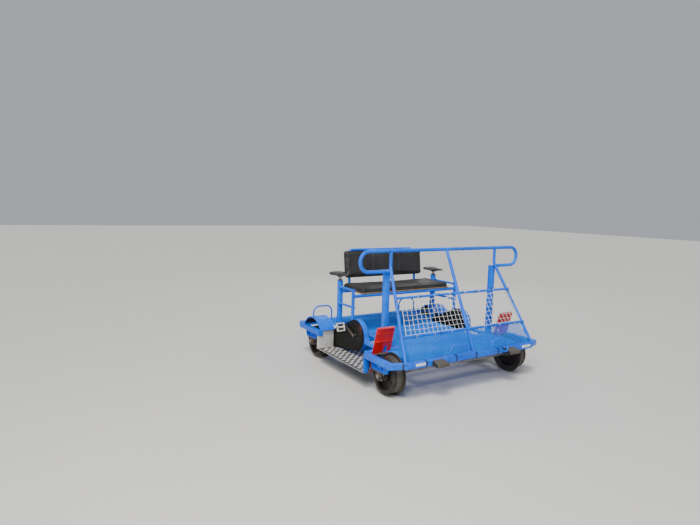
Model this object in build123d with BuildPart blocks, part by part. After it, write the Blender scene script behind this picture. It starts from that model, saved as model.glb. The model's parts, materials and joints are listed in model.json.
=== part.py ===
from build123d import *
import os
from math import radians, degrees, sin, cos, tan, atan2, asin, hypot, sqrt

# Pedal railway handcar, a light four-wheeled platform with two riders' places,
# a bench between them, a full-width handlebar and foot brakes.
# Millimetres.  +X is the direction of travel, +Y is left, +Z is up.
# Origin: middle of the bounding box in plan, on the lowest point of the flanges.

os.makedirs("parts", exist_ok=True)

# ---------------------------------------------------------------- driving sizes
H = 412.0            # x of the handlebar; every X below is given from it
RT = 25.0            # height of the rail top over the flange bottoms
SIDES = (("right", -1), ("left", 1))

# wheels and axles
GAUGE = 1435.0
BACK = 680.0         # |y| of a flange's back, 1360 back to back
FLANGE_W = 26.0
TREAD_R0, TREAD_R1 = 155.0, 150.0
FLANGE_R = 180.0
WHEEL_OUT = 795.0    # |y| of a wheel's outer face
AXLE_Z = RT + 155.0
AXLE_R = 15.0
FRONT_X, REAR_X = H + 170.0, H - 1060.0
RUN = 0.05           # radial running clearance of shafts

# frame
TOP, LOW = RT + 313.0, RT + 265.0      # top and underside of the outer frame
IN_TOP = RT + 307.0                    # top of the inner members, under the deck
HALF_W = 875.0
RAIL_W = 50.0
BEAM_IN, BEAM_OUT = 440.0, 485.0       # inner beams, |y|
WELL_Z = RT + 135.0                    # top of the step floors
WELL_END = 828.0                       # |y| where the front end of a floor starts
PLATE = 4.0

# front structure
BAR_Z, BAR_R = RT + 1181.0, 16.0
LOOP_Z, LOOP_Y, LOOP_END = RT + 1004.0, 938.0, 646.5
STRUT_Y, STRUT_R = 627.0, 14.0
STRUT_BEND = RT + 1032.0
FOOT_X, FOOT_Y = H + 410.0, 745.0
UP_X, UP_Z = H + 165.0, RT + 797.0
LO_X, LO_Z = H + 325.0, RT + 505.0
CROSS_R = 11.0

# pedals
CASE_X, CASE_Z, CASE_R = H - 465.0, RT + 334.0, 152.0
TAIL_R = 58.0
CASE_IN, CASE_OUT = 619.0, 672.0
COVER = 3.0
CRANK_L, CRANK_REST = 150.0, 157.0     # length, rest angle of the outer arm
AX_R = 12.0


def tube(points, radius, bends=0.0):
    """A round tube along straight runs joined by arcs, in the open part."""
    with BuildLine() as path:
        if len(points) > 2:
            FilletPolyline(*points, radius=bends)
        else:
            Line(*points)
    wire = path.wires()[0]
    with BuildSketch(Plane(origin=wire @ 0, z_dir=wire % 0)) as section:
        Circle(radius)
    sweep(section.sketch, path=wire)


def block(x0, x1, y0, y1, z0, z1, mode=Mode.ADD):
    """A plain block between two corners, in the open part."""
    with BuildSketch(Plane.XY.offset(z0)) as section:
        with Locations(((x0 + x1) / 2, (y0 + y1) / 2)):
            Rectangle(abs(x1 - x0), abs(y1 - y0))
    extrude(section.sketch, amount=z1 - z0, mode=mode)


def slab(points, z0, z1):
    """A flat plate with the given outline, in the open part."""
    with BuildSketch(Plane.XY.offset(z0)) as section:
        with BuildLine():
            Polyline(*points, close=True)
        make_face()
    extrude(section.sketch, amount=z1 - z0)


def cross_bore(x, z, radius, y0, y1):
    """A bore along Y cut from the open part."""
    with BuildSketch(Plane(origin=(x, y0, z), x_dir=(1, 0, 0), z_dir=(0, 1, 0))) as section:
        Circle(radius)
    extrude(section.sketch, amount=y1 - y0, mode=Mode.SUBTRACT)


def cross_rod(x, z, radius, y0, y1):
    """A round rod along Y added to the open part."""
    with BuildSketch(Plane(origin=(x, y0, z), x_dir=(1, 0, 0), z_dir=(0, 1, 0))) as section:
        Circle(radius)
    extrude(section.sketch, amount=y1 - y0)


def save(piece, name):
    piece.part.label = name
    export_step(piece.part, f"parts/{name}.step")
    print(f"{name:28s} {len(piece.part.solids())} solid(s)  {piece.part.volume / 1000:9.1f} cm3")


# ---------------------------------------------------------------- chassis
# Half outlines in (X from the handlebar, |y|), mirrored to the other side.
def both(half):
    return [(H + x, y) for x, y in half] + [(H + x, -y) for x, y in reversed(half)]


with BuildPart() as front_bumper:
    outer = [(427, 740), (404, 769), (370, 875), (320, 875), (320, 825), (338, 825), (357, 762), (377, 735)]
    slab(both(outer), LOW, TOP)
    fillet(front_bumper.edges().filter_by(Axis.Z).filter_by_position(Axis.X, H + 400, H + 430), 12)
save(front_bumper, "front_bumper")

with BuildPart() as rear_beam:
    outer = [(-1330, 844), (-1250, 875), (-1200, 875), (-1200, 825), (-1240, 825), (-1280, 806)]
    slab(both(outer), LOW, TOP)
save(rear_beam, "rear_beam")

# brake shafts turn in bores of the side rails and the wheel bay beams
BRAKE_X, BRAKE_Z, BRAKE_R = H + 36.0, RT + 296.0, 8.0

with BuildPart() as side_rails:
    for side, s in SIDES:
        for x0, x1 in ((0, 320), (-1200, -830)):
            block(H + x0, H + x1, s * (HALF_W - RAIL_W), s * HALF_W, LOW, TOP)
        cross_bore(BRAKE_X, BRAKE_Z, BRAKE_R + RUN, s * 820, s * 845)
save(side_rails, "side_rails")

with BuildPart() as inner_beams:
    for side, s in SIDES:
        block(H - 1280, H + 377, s * BEAM_IN, s * BEAM_OUT, LOW, IN_TOP)
save(inner_beams, "inner_beams")

# Cross members: x0, x1 from the handlebar, y0, y1 as |y|; y0 = 0 is one piece
# across the middle.
CROSS = (
    (150, 195, 0, 440),        # under the front deck
    (-70, -12, 0, 440),        # front of the pedal wells
    (-480, -435, 0, 440),      # under the middle of the deck
    (-900, -857, 0, 440),      # rear of the pedal wells
    (-900, -857, 485, 610),
    (-900, -857, 690, 825),
)
with BuildPart() as cross_members:
    for x0, x1, y0, y1 in CROSS:
        for side, s in SIDES:
            if y0 == 0 and s > 0:
                block(H + x0, H + x1, -y1, y1, LOW, IN_TOP)
            elif y0 > 0:
                block(H + x0, H + x1, s * y0, s * y1, LOW, IN_TOP)
save(cross_members, "cross_members")

with BuildPart() as wheel_bay_beams:
    for side, s in SIDES:
        block(H - 70, H - 12, s * 485, s * 825, LOW, IN_TOP)
        block(H - 12, H + 377, s * 612, s * 660, LOW, IN_TOP)
        cross_bore(BRAKE_X, BRAKE_Z, BRAKE_R + RUN, s * 640, s * 665)
save(wheel_bay_beams, "wheel_bay_beams")

with BuildPart() as deck_mesh:
    half = [(377, 660), (-12, 660), (-12, 485), (-857, 485), (-857, 610), (-1280, 610)]
    slab(both(half), IN_TOP, TOP)
save(deck_mesh, "deck_mesh")

# ---------------------------------------------------------------- step wells
FLOOR = [(0, 875), (0, WELL_END), (-70, WELL_END), (-70, 485), (-853, 485), (-853, 610), (-720, 610),
         (-720, 690), (-853, 690), (-853, 875)]
with BuildPart() as step_floors:
    for side, s in SIDES:
        slab([(H + x, s * y) for x, y in FLOOR], WELL_Z - PLATE, WELL_Z)
        block(H - 857, H - 853, s * 690, s * HALF_W, WELL_Z - PLATE, LOW)
        block(H - 857, H - 853, s * 690, s * (HALF_W - RAIL_W), LOW, TOP)
save(step_floors, "step_floors")

with BuildPart() as step_walls:
    for side, s in SIDES:
        block(H - 5, H, s * WELL_END, s * HALF_W, WELL_Z, TOP)
        block(H - 75, H - 5, s * WELL_END, s * (WELL_END + 4), WELL_Z, LOW)
        block(H - 75, H - 70, s * 485, s * 825, WELL_Z, IN_TOP)
        block(H - 75, H - 70, s * 825, s * (WELL_END + 4), WELL_Z, LOW)
        block(H - 853, H - 75, s * 485, s * 489, WELL_Z, IN_TOP)
        block(H - 857, H - 853, s * 485, s * 610, WELL_Z - PLATE, IN_TOP)
save(step_walls, "step_walls")

# ---------------------------------------------------------------- front structure
with BuildPart() as front_posts:
    for side, s in SIDES:
        block(H - 64, H - STRUT_R, s * 615, s * 665, IN_TOP, RT + 1000)
save(front_posts, "front_posts")

with BuildPart() as handlebar:
    tube([(H, -850, BAR_Z), (H, 850, BAR_Z)], BAR_R)
save(handlebar, "handlebar")

with BuildPart() as front_struts:
    for side, s in SIDES:
        tube([(H, s * STRUT_Y, BAR_Z), (H, s * STRUT_Y, STRUT_BEND), (FOOT_X + 12, s * (FOOT_Y + 3), RT + 297)],
             STRUT_R, 70)
    tube([(H, 0, BAR_Z), (FOOT_X + 10, 0, RT + 297)], STRUT_R)
    add(handlebar.part, mode=Mode.SUBTRACT)
    add(front_bumper.part, mode=Mode.SUBTRACT)
    block(H + 300, H + 500, -900, 900, TOP - 60, TOP, mode=Mode.SUBTRACT)
    add(front_posts.part, mode=Mode.SUBTRACT)
save(front_struts, "front_struts")

with BuildPart() as grip_loops:
    for side, s in SIDES:
        tube([(H, s * 850, BAR_Z), (H, s * LOOP_Y, BAR_Z), (H, s * LOOP_Y, LOOP_Z), (H, s * LOOP_END, LOOP_Z)],
             BAR_R, 87.9)
        block(H - 64, H - STRUT_R, s * 615, s * 665, RT + 900, RT + 1000, mode=Mode.SUBTRACT)
save(grip_loops, "grip_loops")

# horizontal bars that carry the net: x, z, half length
with BuildPart() as net_bars:
    for bx, bz, by in ((UP_X, UP_Z, 668.0), (LO_X, LO_Z, 718.0)):
        tube([(bx, -by, bz), (bx, by, bz)], CROSS_R)
    add(front_struts.part, mode=Mode.SUBTRACT)
save(net_bars, "net_bars")


def sloped_panel(x0, z0, y0, x1, z1, y1, thick, trim0, trim1):
    """A flat panel that leans forward from (x0, z0) down to (x1, z1), in the open part."""
    length = hypot(x1 - x0, z1 - z0)
    down = ((x1 - x0) / length, 0, (z1 - z0) / length)
    face = Plane(origin=(x0, 0, z0), x_dir=(0, 1, 0), z_dir=Vector(0, 1, 0).cross(Vector(*down)))
    with BuildSketch(face) as section:
        with BuildLine():
            ya = y0 + (y1 - y0) * trim0 / length
            yb = y0 + (y1 - y0) * (length - trim1) / length
            Polyline((-ya, trim0), (ya, trim0), (yb, length - trim1), (-yb, length - trim1), close=True)
        make_face()
    extrude(section.sketch, amount=thick / 2, both=True)


with BuildPart() as front_net:
    sloped_panel(UP_X, UP_Z, 642.0, LO_X, LO_Z, 694.0, 5.0, CROSS_R, CROSS_R)
    add(front_struts.part, mode=Mode.SUBTRACT)
save(front_net, "front_net")

with BuildPart() as front_mesh_panel:
    sloped_panel(LO_X, LO_Z, 694.0, H + 402, TOP, 722.0, 4.0, CROSS_R, 1.0)
    add(front_struts.part, mode=Mode.SUBTRACT)
save(front_mesh_panel, "front_mesh_panel")

# ---------------------------------------------------------------- bumper fittings
with BuildPart() as buffers:
    for side, s in SIDES:
        with BuildSketch(Plane.XY.offset(LOW)):
            with BuildLine():
                Polyline((H + 427, s * 366), (H + 506, s * 356), (H + 506, s * 490), (H + 427, s * 480), close=True)
            make_face()
        extrude(amount=TOP - LOW)
    with BuildSketch(Plane(origin=(0, -500, 0), x_dir=(1, 0, 0), z_dir=(0, -1, 0))):
        with BuildLine():
            Polyline((H + 427, TOP), (H + 506, LOW + 29), (H + 506, TOP + 10), (H + 427, TOP + 10), close=True)
        make_face()
    extrude(amount=-1000, mode=Mode.SUBTRACT)
save(buffers, "buffers")

# Lifting handles: x of the foot, x of the arch, |y| of both legs, foot z, top z, radius
with BuildPart() as front_handles:
    for side, s in SIDES:
        ya, yb, zf, zt = s * 134, s * 346, RT + 290, RT + 424
        tube([(H + 427, ya, zf), (H + 478, ya, zf), (H + 478, ya, zt), (H + 478, yb, zt), (H + 478, yb, zf),
              (H + 427, yb, zf)], 8.0, [26, 90, 90, 26])
save(front_handles, "front_handles")

with BuildPart() as rear_handles:
    for side, s in SIDES:
        ya, yb, zt = s * 463, s * 687, RT + 458
        tube([(H - 1305, ya, TOP), (H - 1305, ya, zt), (H - 1305, yb, zt), (H - 1305, yb, TOP)], 8.0, 100)
save(rear_handles, "rear_handles")

# ---------------------------------------------------------------- axle carriers
AXLES = (("front", FRONT_X), ("rear", REAR_X))
BRACKET_IN, BRACKET_OUT, BRACKET_Z = 815.0, 849.0, RT + 203.0
with BuildPart() as bearing_brackets:
    for end, ax in AXLES:
        for side, s in SIDES:
            with BuildSketch(Plane(origin=(0, s * BRACKET_IN, 0), x_dir=(1, 0, 0), z_dir=(0, -1, 0))):
                with BuildLine():
                    Polyline((ax - 98, LOW), (ax + 122, LOW), (ax + 110, BRACKET_Z), (ax - 88, BRACKET_Z), close=True)
                make_face()
            extrude(amount=-s * (BRACKET_OUT - BRACKET_IN))
save(bearing_brackets, "bearing_brackets")

with BuildPart() as axle_bearings:
    for end, ax in AXLES:
        for side, s in SIDES:
            block(ax - 80, ax + 80, s * 812, s * 846, BRACKET_Z - 18, BRACKET_Z)
            cross_rod(ax, AXLE_Z, 38.0, s * 812, s * 846)
            cross_bore(ax, AXLE_Z, AXLE_R + RUN, s * 800, s * 860)
save(axle_bearings, "axle_bearings")

# ---------------------------------------------------------------- rear wheel guards
GUARD_X, GUARD_Z, GUARD_R = H - 1017.0, RT + 209.0, 212.0
with BuildPart() as rear_wheel_guards:
    for side, s in SIDES:
        with BuildSketch(Plane(origin=(GUARD_X, s * 690, GUARD_Z), x_dir=(1, 0, 0), z_dir=(0, s, 0))):
            Circle(GUARD_R)
            Circle(GUARD_R - 3.0, mode=Mode.SUBTRACT)
        extrude(amount=160)
    block(GUARD_X - 300, GUARD_X + 300, -900, 900, GUARD_Z - 300, TOP, mode=Mode.SUBTRACT)
save(rear_wheel_guards, "rear_wheel_guards")

# ---------------------------------------------------------------- chain cases
TAIL_X, TAIL_Z = REAR_X, AXLE_Z


def case_hull(grow=0.0):
    """Outline of the chain case: two arcs and their common tangents, seen along Y."""
    with BuildLine() as outline:
        rise = atan2(CASE_Z - TAIL_Z, CASE_X - TAIL_X)
        spread = asin((CASE_R - TAIL_R) / hypot(CASE_X - TAIL_X, CASE_Z - TAIL_Z))
        up, dn = rise + radians(90) + spread, rise - radians(90) - spread
        ra, rb = CASE_R + grow, TAIL_R + grow
        big_up = (CASE_X + ra * cos(up), CASE_Z + ra * sin(up))
        big_dn = (CASE_X + ra * cos(dn), CASE_Z + ra * sin(dn))
        tail_up = (TAIL_X + rb * cos(up), TAIL_Z + rb * sin(up))
        tail_dn = (TAIL_X + rb * cos(dn), TAIL_Z + rb * sin(dn))
        nose = (CASE_X + ra * cos(rise), CASE_Z + ra * sin(rise))
        heel = (TAIL_X - rb * cos(rise), TAIL_Z - rb * sin(rise))
        ThreePointArc(big_up, nose, big_dn)
        Line(big_dn, tail_dn)
        ThreePointArc(tail_dn, heel, tail_up)
        Line(tail_up, big_up)
    make_face(outline.edges())


with BuildPart() as chain_case_rims:
    for side, s in SIDES:
        y_near = s * CASE_IN if s > 0 else -CASE_OUT
        with BuildSketch(Plane(origin=(0, y_near, 0), x_dir=(1, 0, 0), z_dir=(0, -1, 0))):
            case_hull()
            with BuildLine():
                Polyline((H - 400, RT + 285), (H - 75, RT + 285), (H - 75, TOP), (H - 400, TOP), close=True)
            make_face()
        extrude(amount=-(CASE_OUT - CASE_IN))
        corner = chain_case_rims.edges().filter_by(Axis.Y).filter_by_position(Axis.Z, TOP - 1, TOP + 1)
        corner = corner.filter_by_position(Axis.Y, s * 646 - 40, s * 646 + 40)
        fillet(corner.sort_by(Axis.X)[0], 50)
        with BuildSketch(Plane(origin=(0, y_near, 0), x_dir=(1, 0, 0), z_dir=(0, -1, 0))):
            case_hull(-4.0)
        extrude(amount=-(CASE_OUT - CASE_IN), mode=Mode.SUBTRACT)
save(chain_case_rims, "chain_case_rims")

with BuildPart() as chain_case_covers:
    for side, s in SIDES:
        for y0 in (CASE_OUT, CASE_IN - COVER):
            yy = s * y0 if s > 0 else -(y0 + COVER)
            with BuildSketch(Plane(origin=(0, yy, 0), x_dir=(1, 0, 0), z_dir=(0, -1, 0))):
                case_hull(-0.5)
            extrude(amount=-COVER)
        cross_bore(CASE_X, CASE_Z, 21.0, s * 600, s * 700)
        cross_bore(TAIL_X, TAIL_Z, 34.0, s * 600, s * 700)
save(chain_case_covers, "chain_case_covers")

with BuildPart() as bottom_brackets:
    for side, s in SIDES:
        cross_rod(CASE_X, CASE_Z, 21.0, s * 616, s * 684)
        cross_bore(CASE_X, CASE_Z, AX_R + RUN, s * 600, s * 700)
save(bottom_brackets, "bottom_brackets")

# ---------------------------------------------------------------- seats
LEG_X, LEG_Y, LEG_R = H - 562.0, 650.0, 16.0
POST_X0, POST_X1, POST_Y0, POST_Y1 = H - 903.0, H - 857.0, 588.0, 632.0
SEAT_Z = RT + 690.0

with BuildPart() as saddle_uprights:
    for side, s in SIDES:
        block(POST_X0, POST_X1, s * POST_Y0, s * POST_Y1, TOP, RT + 800)
        block(POST_X0 - 1, POST_X1 + 1, s * 614, s * 640, TOP, TOP + 6, mode=Mode.SUBTRACT)
save(saddle_uprights, "saddle_uprights")

with BuildPart() as bench_front_legs:
    for side, s in SIDES:
        tube([(LEG_X, s * LEG_Y, CASE_Z + 60), (LEG_X, s * LEG_Y, RT + 758)], LEG_R)
    with BuildSketch(Plane(origin=(0, -700, 0), x_dir=(1, 0, 0), z_dir=(0, -1, 0))):
        case_hull()
    extrude(amount=-1400, mode=Mode.SUBTRACT)
save(bench_front_legs, "bench_front_legs")

with BuildPart() as bench_side_bars:
    for side, s in SIDES:
        for bz in (RT + 743, RT + 576):
            tube([(POST_X1 - 10, s * 631, bz), (LEG_X, s * 631, bz)], CROSS_R)
    add(bench_front_legs.part, mode=Mode.SUBTRACT)
    add(saddle_uprights.part, mode=Mode.SUBTRACT)
    for side, s in SIDES:
        block(LEG_X, LEG_X + 40, s * 600, s * 700, RT + 500, RT + 800, mode=Mode.SUBTRACT)
        block(POST_X1 - 30, POST_X1, s * 600, s * 700, RT + 500, RT + 800, mode=Mode.SUBTRACT)
save(bench_side_bars, "bench_side_bars")

with BuildPart() as bench_cross_bars:
    tube([(LEG_X, -LEG_Y, SEAT_Z), (LEG_X, LEG_Y, SEAT_Z)], LEG_R)
    block(POST_X0 + 5, POST_X1 - 5, -POST_Y0, POST_Y0, SEAT_Z - 16, SEAT_Z + 16)
    add(bench_front_legs.part, mode=Mode.SUBTRACT)
    for side, s in SIDES:
        block(LEG_X - 30, LEG_X + 30, s * LEG_Y, s * 700, SEAT_Z - 30, SEAT_Z + 30, mode=Mode.SUBTRACT)
save(bench_cross_bars, "bench_cross_bars")

with BuildPart() as backrest_frame:
    tube([(POST_X0 + 5, -430, SEAT_Z), (H - 990, -430, SEAT_Z), (H - 1042, -430, RT + 1092),
          (H - 1042, 430, RT + 1092), (H - 990, 430, SEAT_Z), (POST_X0 + 5, 430, SEAT_Z)], 14.0, [60, 60, 60, 60])
save(backrest_frame, "backrest_frame")

with BuildPart() as bench_board:
    slab(both([(-548, 560), (-950, 560)]), SEAT_Z + 16, SEAT_Z + 26)
save(bench_board, "bench_board")

with BuildPart() as bench_cushion:
    slab(both([(-545, 560), (-950, 560)]), SEAT_Z + 26, SEAT_Z + 76)
    fillet(bench_cushion.edges().filter_by(Axis.Z), 25)
    fillet(bench_cushion.faces().sort_by(Axis.Z)[-1].edges(), 14)
save(bench_cushion, "bench_cushion")

LEAN = degrees(atan2(52, 402))
with BuildPart() as backrest_cushion:
    base = Plane(origin=(H - 990.0, 0, RT + 800), x_dir=(0, 1, 0), z_dir=(cos(radians(LEAN)), 0, sin(radians(LEAN))))
    with BuildSketch(base):
        with Locations((0, 145)):
            RectangleRounded(1010, 290, 30)
    extrude(amount=48)
    fillet(backrest_cushion.faces().sort_by(Axis.X)[-1].edges(), 14)
    add(backrest_frame.part, mode=Mode.SUBTRACT)
save(backrest_cushion, "backrest_cushion")

SADDLE_Y = 612.0
with BuildPart() as saddle_stems:
    for side, s in SIDES:
        tube([(H - 880, s * SADDLE_Y, RT + 800), (H - 880, s * SADDLE_Y, RT + 842)], 13.0)
save(saddle_stems, "saddle_stems")

# half outline of a saddle: X from the handlebar, half width
SADDLE = ((-990, 60), (-965, 88), (-915, 90), (-865, 52), (-760, 26), (-732, 8))
with BuildPart() as saddles:
    for side, s in SIDES:
        with BuildSketch(Plane.XY.offset(RT + 842)):
            with BuildLine():
                yc = s * SADDLE_Y
                Polyline(*[(H + x, yc - w) for x, w in SADDLE], *[(H + x, yc + w) for x, w in reversed(SADDLE)],
                         close=True)
            make_face()
        extrude(amount=44)
    fillet(saddles.faces().filter_by_position(Axis.Z, RT + 885, RT + 887).edges(), 8)
save(saddles, "saddles")

# ---------------------------------------------------------------- wheelsets
# half sections, (radius, |y|): the flange ring, the ring of the tread, and the hub with its web
FLANGE = ((126, BACK + 6), (FLANGE_R - 14, BACK), (FLANGE_R, BACK + 8), (FLANGE_R - 3, BACK + 16),
          (TREAD_R0, BACK + FLANGE_W), (126, BACK + FLANGE_W))
TREAD = ((126, BACK + FLANGE_W), (TREAD_R0, BACK + FLANGE_W), (TREAD_R1 + 1, WHEEL_OUT - 6),
         (TREAD_R1 - 5, WHEEL_OUT), (128, WHEEL_OUT), (126, 744))
HUB = ((AXLE_R, 702), (46, 702), (46, 728), (126, 728), (126, 744), (52, 744), (46, 788), (AXLE_R, 788))
for end, ax in AXLES:
    for name, section in (("wheel_flanges", FLANGE), ("wheel_treads", TREAD), ("wheel_hubs", HUB)):
        with BuildPart() as wheels:
            for side, s in SIDES:
                with BuildSketch(Plane(origin=(ax, 0, AXLE_Z), x_dir=(1, 0, 0), z_dir=(0, 0, 1))):
                    with BuildLine():
                        Polyline(*[(r, s * y) for r, y in section], close=True)
                    make_face()
                revolve(axis=Axis((ax, 0, AXLE_Z), (0, 1, 0)))
        save(wheels, f"{end}_{name}")

    with BuildPart() as axle:
        cross_rod(ax, AXLE_Z, AXLE_R, -852, 852)
        fillet(axle.edges().filter_by(GeomType.CIRCLE), 2)
    save(axle, f"{end}_axle")

# ---------------------------------------------------------------- cranks and pedals
# arm: name, |y| of its two faces, angle from the rest of the outer arm
ARMS = (("outer", 690.0, 704.0, 0.0), ("inner", 596.0, 610.0, 180.0))
PEDAL_L, PEDAL_W, PEDAL_T = 82.0, 88.0, 24.0
PEDAL_TURN = {"outer": 70.0, "inner": 0.0}    # rest angle of a pedal about its spindle
for side, s in SIDES:
    with BuildPart() as crank:
        cross_rod(CASE_X, CASE_Z, AX_R, s * 596, s * 704)
        for name, y0, y1, turn in ARMS:
            a = radians(CRANK_REST + turn)
            with BuildSketch(Plane(origin=(CASE_X, s * y0, CASE_Z), x_dir=(cos(a), 0, sin(a)), z_dir=(0, s, 0))):
                with BuildLine():
                    Polyline((-16, -16), (20, -16), (CRANK_L, -11), (CRANK_L, 11), (20, 16), (-16, 16), close=True)
                make_face()
                Circle(19)
                with Locations((CRANK_L, 0)):
                    Circle(13)
                    Circle(6 + RUN, mode=Mode.SUBTRACT)
            extrude(amount=y1 - y0)
    save(crank, f"crank_{side}")

    for name, y0, y1, turn in ARMS:
        a = radians(CRANK_REST + turn)
        px, pz = CASE_X + CRANK_L * cos(a), CASE_Z + CRANK_L * sin(a)
        inner, outer = (y1 + 8, y1 + 8 + PEDAL_W) if name == "outer" else (y0 - 8 - PEDAL_W, y0 - 8)
        reach = y0 if name == "outer" else y1
        with BuildPart() as cage:
            block(px - PEDAL_L / 2, px + PEDAL_L / 2, s * inner, s * outer, pz - PEDAL_T / 2, pz + PEDAL_T / 2)
            fillet(cage.edges().filter_by(Axis.Z), 12)
            for hole in (-1, 1):
                block(px + hole * 10, px + hole * 31, s * (inner + 14), s * (outer - 12), pz - 20, pz + 20,
                      mode=Mode.SUBTRACT)
        with BuildPart() as pedal:
            add(cage.part.rotate(Axis((px, 0, pz), (0, 1, 0)), PEDAL_TURN[name]))
            cross_rod(px, pz, 6.0, s * reach, s * (inner + outer) / 2)
        save(pedal, f"pedal_{name}_{side}")

# ---------------------------------------------------------------- foot brakes
TOP_DX, TOP_DZ = 64.0, 249.0
PLATE_L = hypot(TOP_DX, TOP_DZ)
RIBS = (124.0, 198.0)        # heights of the stiffening ribs along the plate
for side, s in SIDES:
    with BuildPart() as brake_pedal:
        up = Vector(TOP_DX, 0, TOP_DZ).normalized()
        face = Plane(origin=(BRAKE_X, 0, BRAKE_Z), x_dir=(0, 1, 0), z_dir=Vector(0, 1, 0).cross(up))
        with BuildSketch(face):
            with BuildLine():
                Polyline(*[(s * u, v) for u, v in (
                    (664, 0), (672, 0), (671, 44), (675, 68), (684, 80), (694, 80), (703, 62), (714, 0),
                    (812, 0), (820, 10), (816, PLATE_L - 12), (806, PLATE_L), (646, PLATE_L), (636, PLATE_L - 12),
                    (632, 24), (664, 24))], close=True)
            make_face()
        extrude(amount=3, both=True)
        for v in RIBS:
            with BuildSketch(face):
                with Locations((s * 725, v)):
                    Rectangle(172, 10)
            extrude(amount=12)
        top = Plane(origin=(BRAKE_X + TOP_DX, 0, BRAKE_Z + TOP_DZ), x_dir=(0, 1, 0), z_dir=up)
        with BuildSketch(top):
            with Locations((s * 726, 11)):
                Rectangle(164, 28)
        extrude(amount=-5)
        cross_rod(BRAKE_X, BRAKE_Z, BRAKE_R, s * 645, s * 840)
        # hanging lever
        with BuildSketch(Plane(origin=(0, s * 813, 0), x_dir=(1, 0, 0), z_dir=(0, -1, 0))):
            with BuildLine():
                Polyline((BRAKE_X - 16, BRAKE_Z + 9), (BRAKE_X + 9, BRAKE_Z + 9), (H + 31, RT + 132), (H + 5, RT + 132),
                         close=True)
            make_face()
        extrude(amount=-s * 8)
    save(brake_pedal, f"brake_pedal_{side}")

    # curved shoe over the tread, and the web that carries it
    with BuildPart() as brake_shoe:
        for r0, r1, a0, a1, y0, y1 in ((168, 184, 112, 130, 716, 778), (180, 203, 114, 131.0, 738, 758)):
            with BuildSketch(Plane(origin=(FRONT_X, s * y0, AXLE_Z), x_dir=(1, 0, 0), z_dir=(0, -1, 0))):
                with BuildLine():
                    p = [(r * cos(radians(a)), r * sin(radians(a))) for r, a in
                         ((r0, a0), (r0, (a0 + a1) / 2), (r0, a1), (r1, a1), (r1, (a0 + a1) / 2), (r1, a0))]
                    ThreePointArc(p[0], p[1], p[2])
                    Line(p[2], p[3])
                    ThreePointArc(p[3], p[4], p[5])
                    Line(p[5], p[0])
                make_face()
            extrude(amount=-s * (y1 - y0))
        add(brake_pedal.part, mode=Mode.SUBTRACT)
    save(brake_shoe, f"brake_shoe_{side}")
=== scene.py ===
import json
import math
import random

import bmesh
import bpy
import numpy as np
from mathutils import Matrix, Vector, noise


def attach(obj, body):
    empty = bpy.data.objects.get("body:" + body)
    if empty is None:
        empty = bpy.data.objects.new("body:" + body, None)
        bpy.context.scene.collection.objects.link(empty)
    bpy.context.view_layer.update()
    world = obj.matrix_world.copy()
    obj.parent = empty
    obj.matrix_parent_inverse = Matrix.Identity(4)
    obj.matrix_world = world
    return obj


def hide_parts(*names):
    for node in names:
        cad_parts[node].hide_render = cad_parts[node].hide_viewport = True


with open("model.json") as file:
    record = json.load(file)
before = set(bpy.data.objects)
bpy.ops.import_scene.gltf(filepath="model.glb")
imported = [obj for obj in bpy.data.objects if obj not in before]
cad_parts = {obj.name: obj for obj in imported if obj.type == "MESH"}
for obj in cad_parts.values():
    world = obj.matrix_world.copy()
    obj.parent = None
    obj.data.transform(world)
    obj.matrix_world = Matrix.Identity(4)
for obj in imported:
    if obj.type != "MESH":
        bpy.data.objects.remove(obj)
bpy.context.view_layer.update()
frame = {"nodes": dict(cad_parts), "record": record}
NODES = frame["nodes"]
R = random.Random(7)
pi, cos, sin, radians, hypot, atan2, sqrt = math.pi, math.cos, math.sin, math.radians, math.hypot, math.atan2, math.sqrt

# ---------------------------------------------------------------- sizes, mm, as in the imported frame
H, RT = 412.0, 25.0
TOP, LOW, IN_TOP = RT + 313.0, RT + 265.0, RT + 307.0
HALF_W = 875.0
AXLE_Z = RT + 155.0
FRONT_X, REAR_X = H + 170.0, H - 1060.0
BAR_Z, BAR_R = RT + 1181.0, 16.0
LOOP_Z, LOOP_Y = RT + 1004.0, 938.0
STRUT_Y, STRUT_R = 627.0, 14.0
STRUT_BEND = RT + 1032.0
FOOT_X, FOOT_Y = H + 410.0, 745.0
UP_X, UP_Z = H + 165.0, RT + 797.0
LO_X, LO_Z = H + 325.0, RT + 505.0
CROSS_R = 11.0
CASE_X, CASE_Z, CASE_R = H - 465.0, RT + 334.0, 152.0
TAIL_X, TAIL_Z, TAIL_R = REAR_X, AXLE_Z, 58.0
CASE_IN, CASE_OUT, COVER = 619.0, 672.0, 3.0
SEAT_Z = RT + 690.0
SIDES = (("right", -1), ("left", 1))
WELL_Z = RT + 135.0
V = Vector


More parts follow.
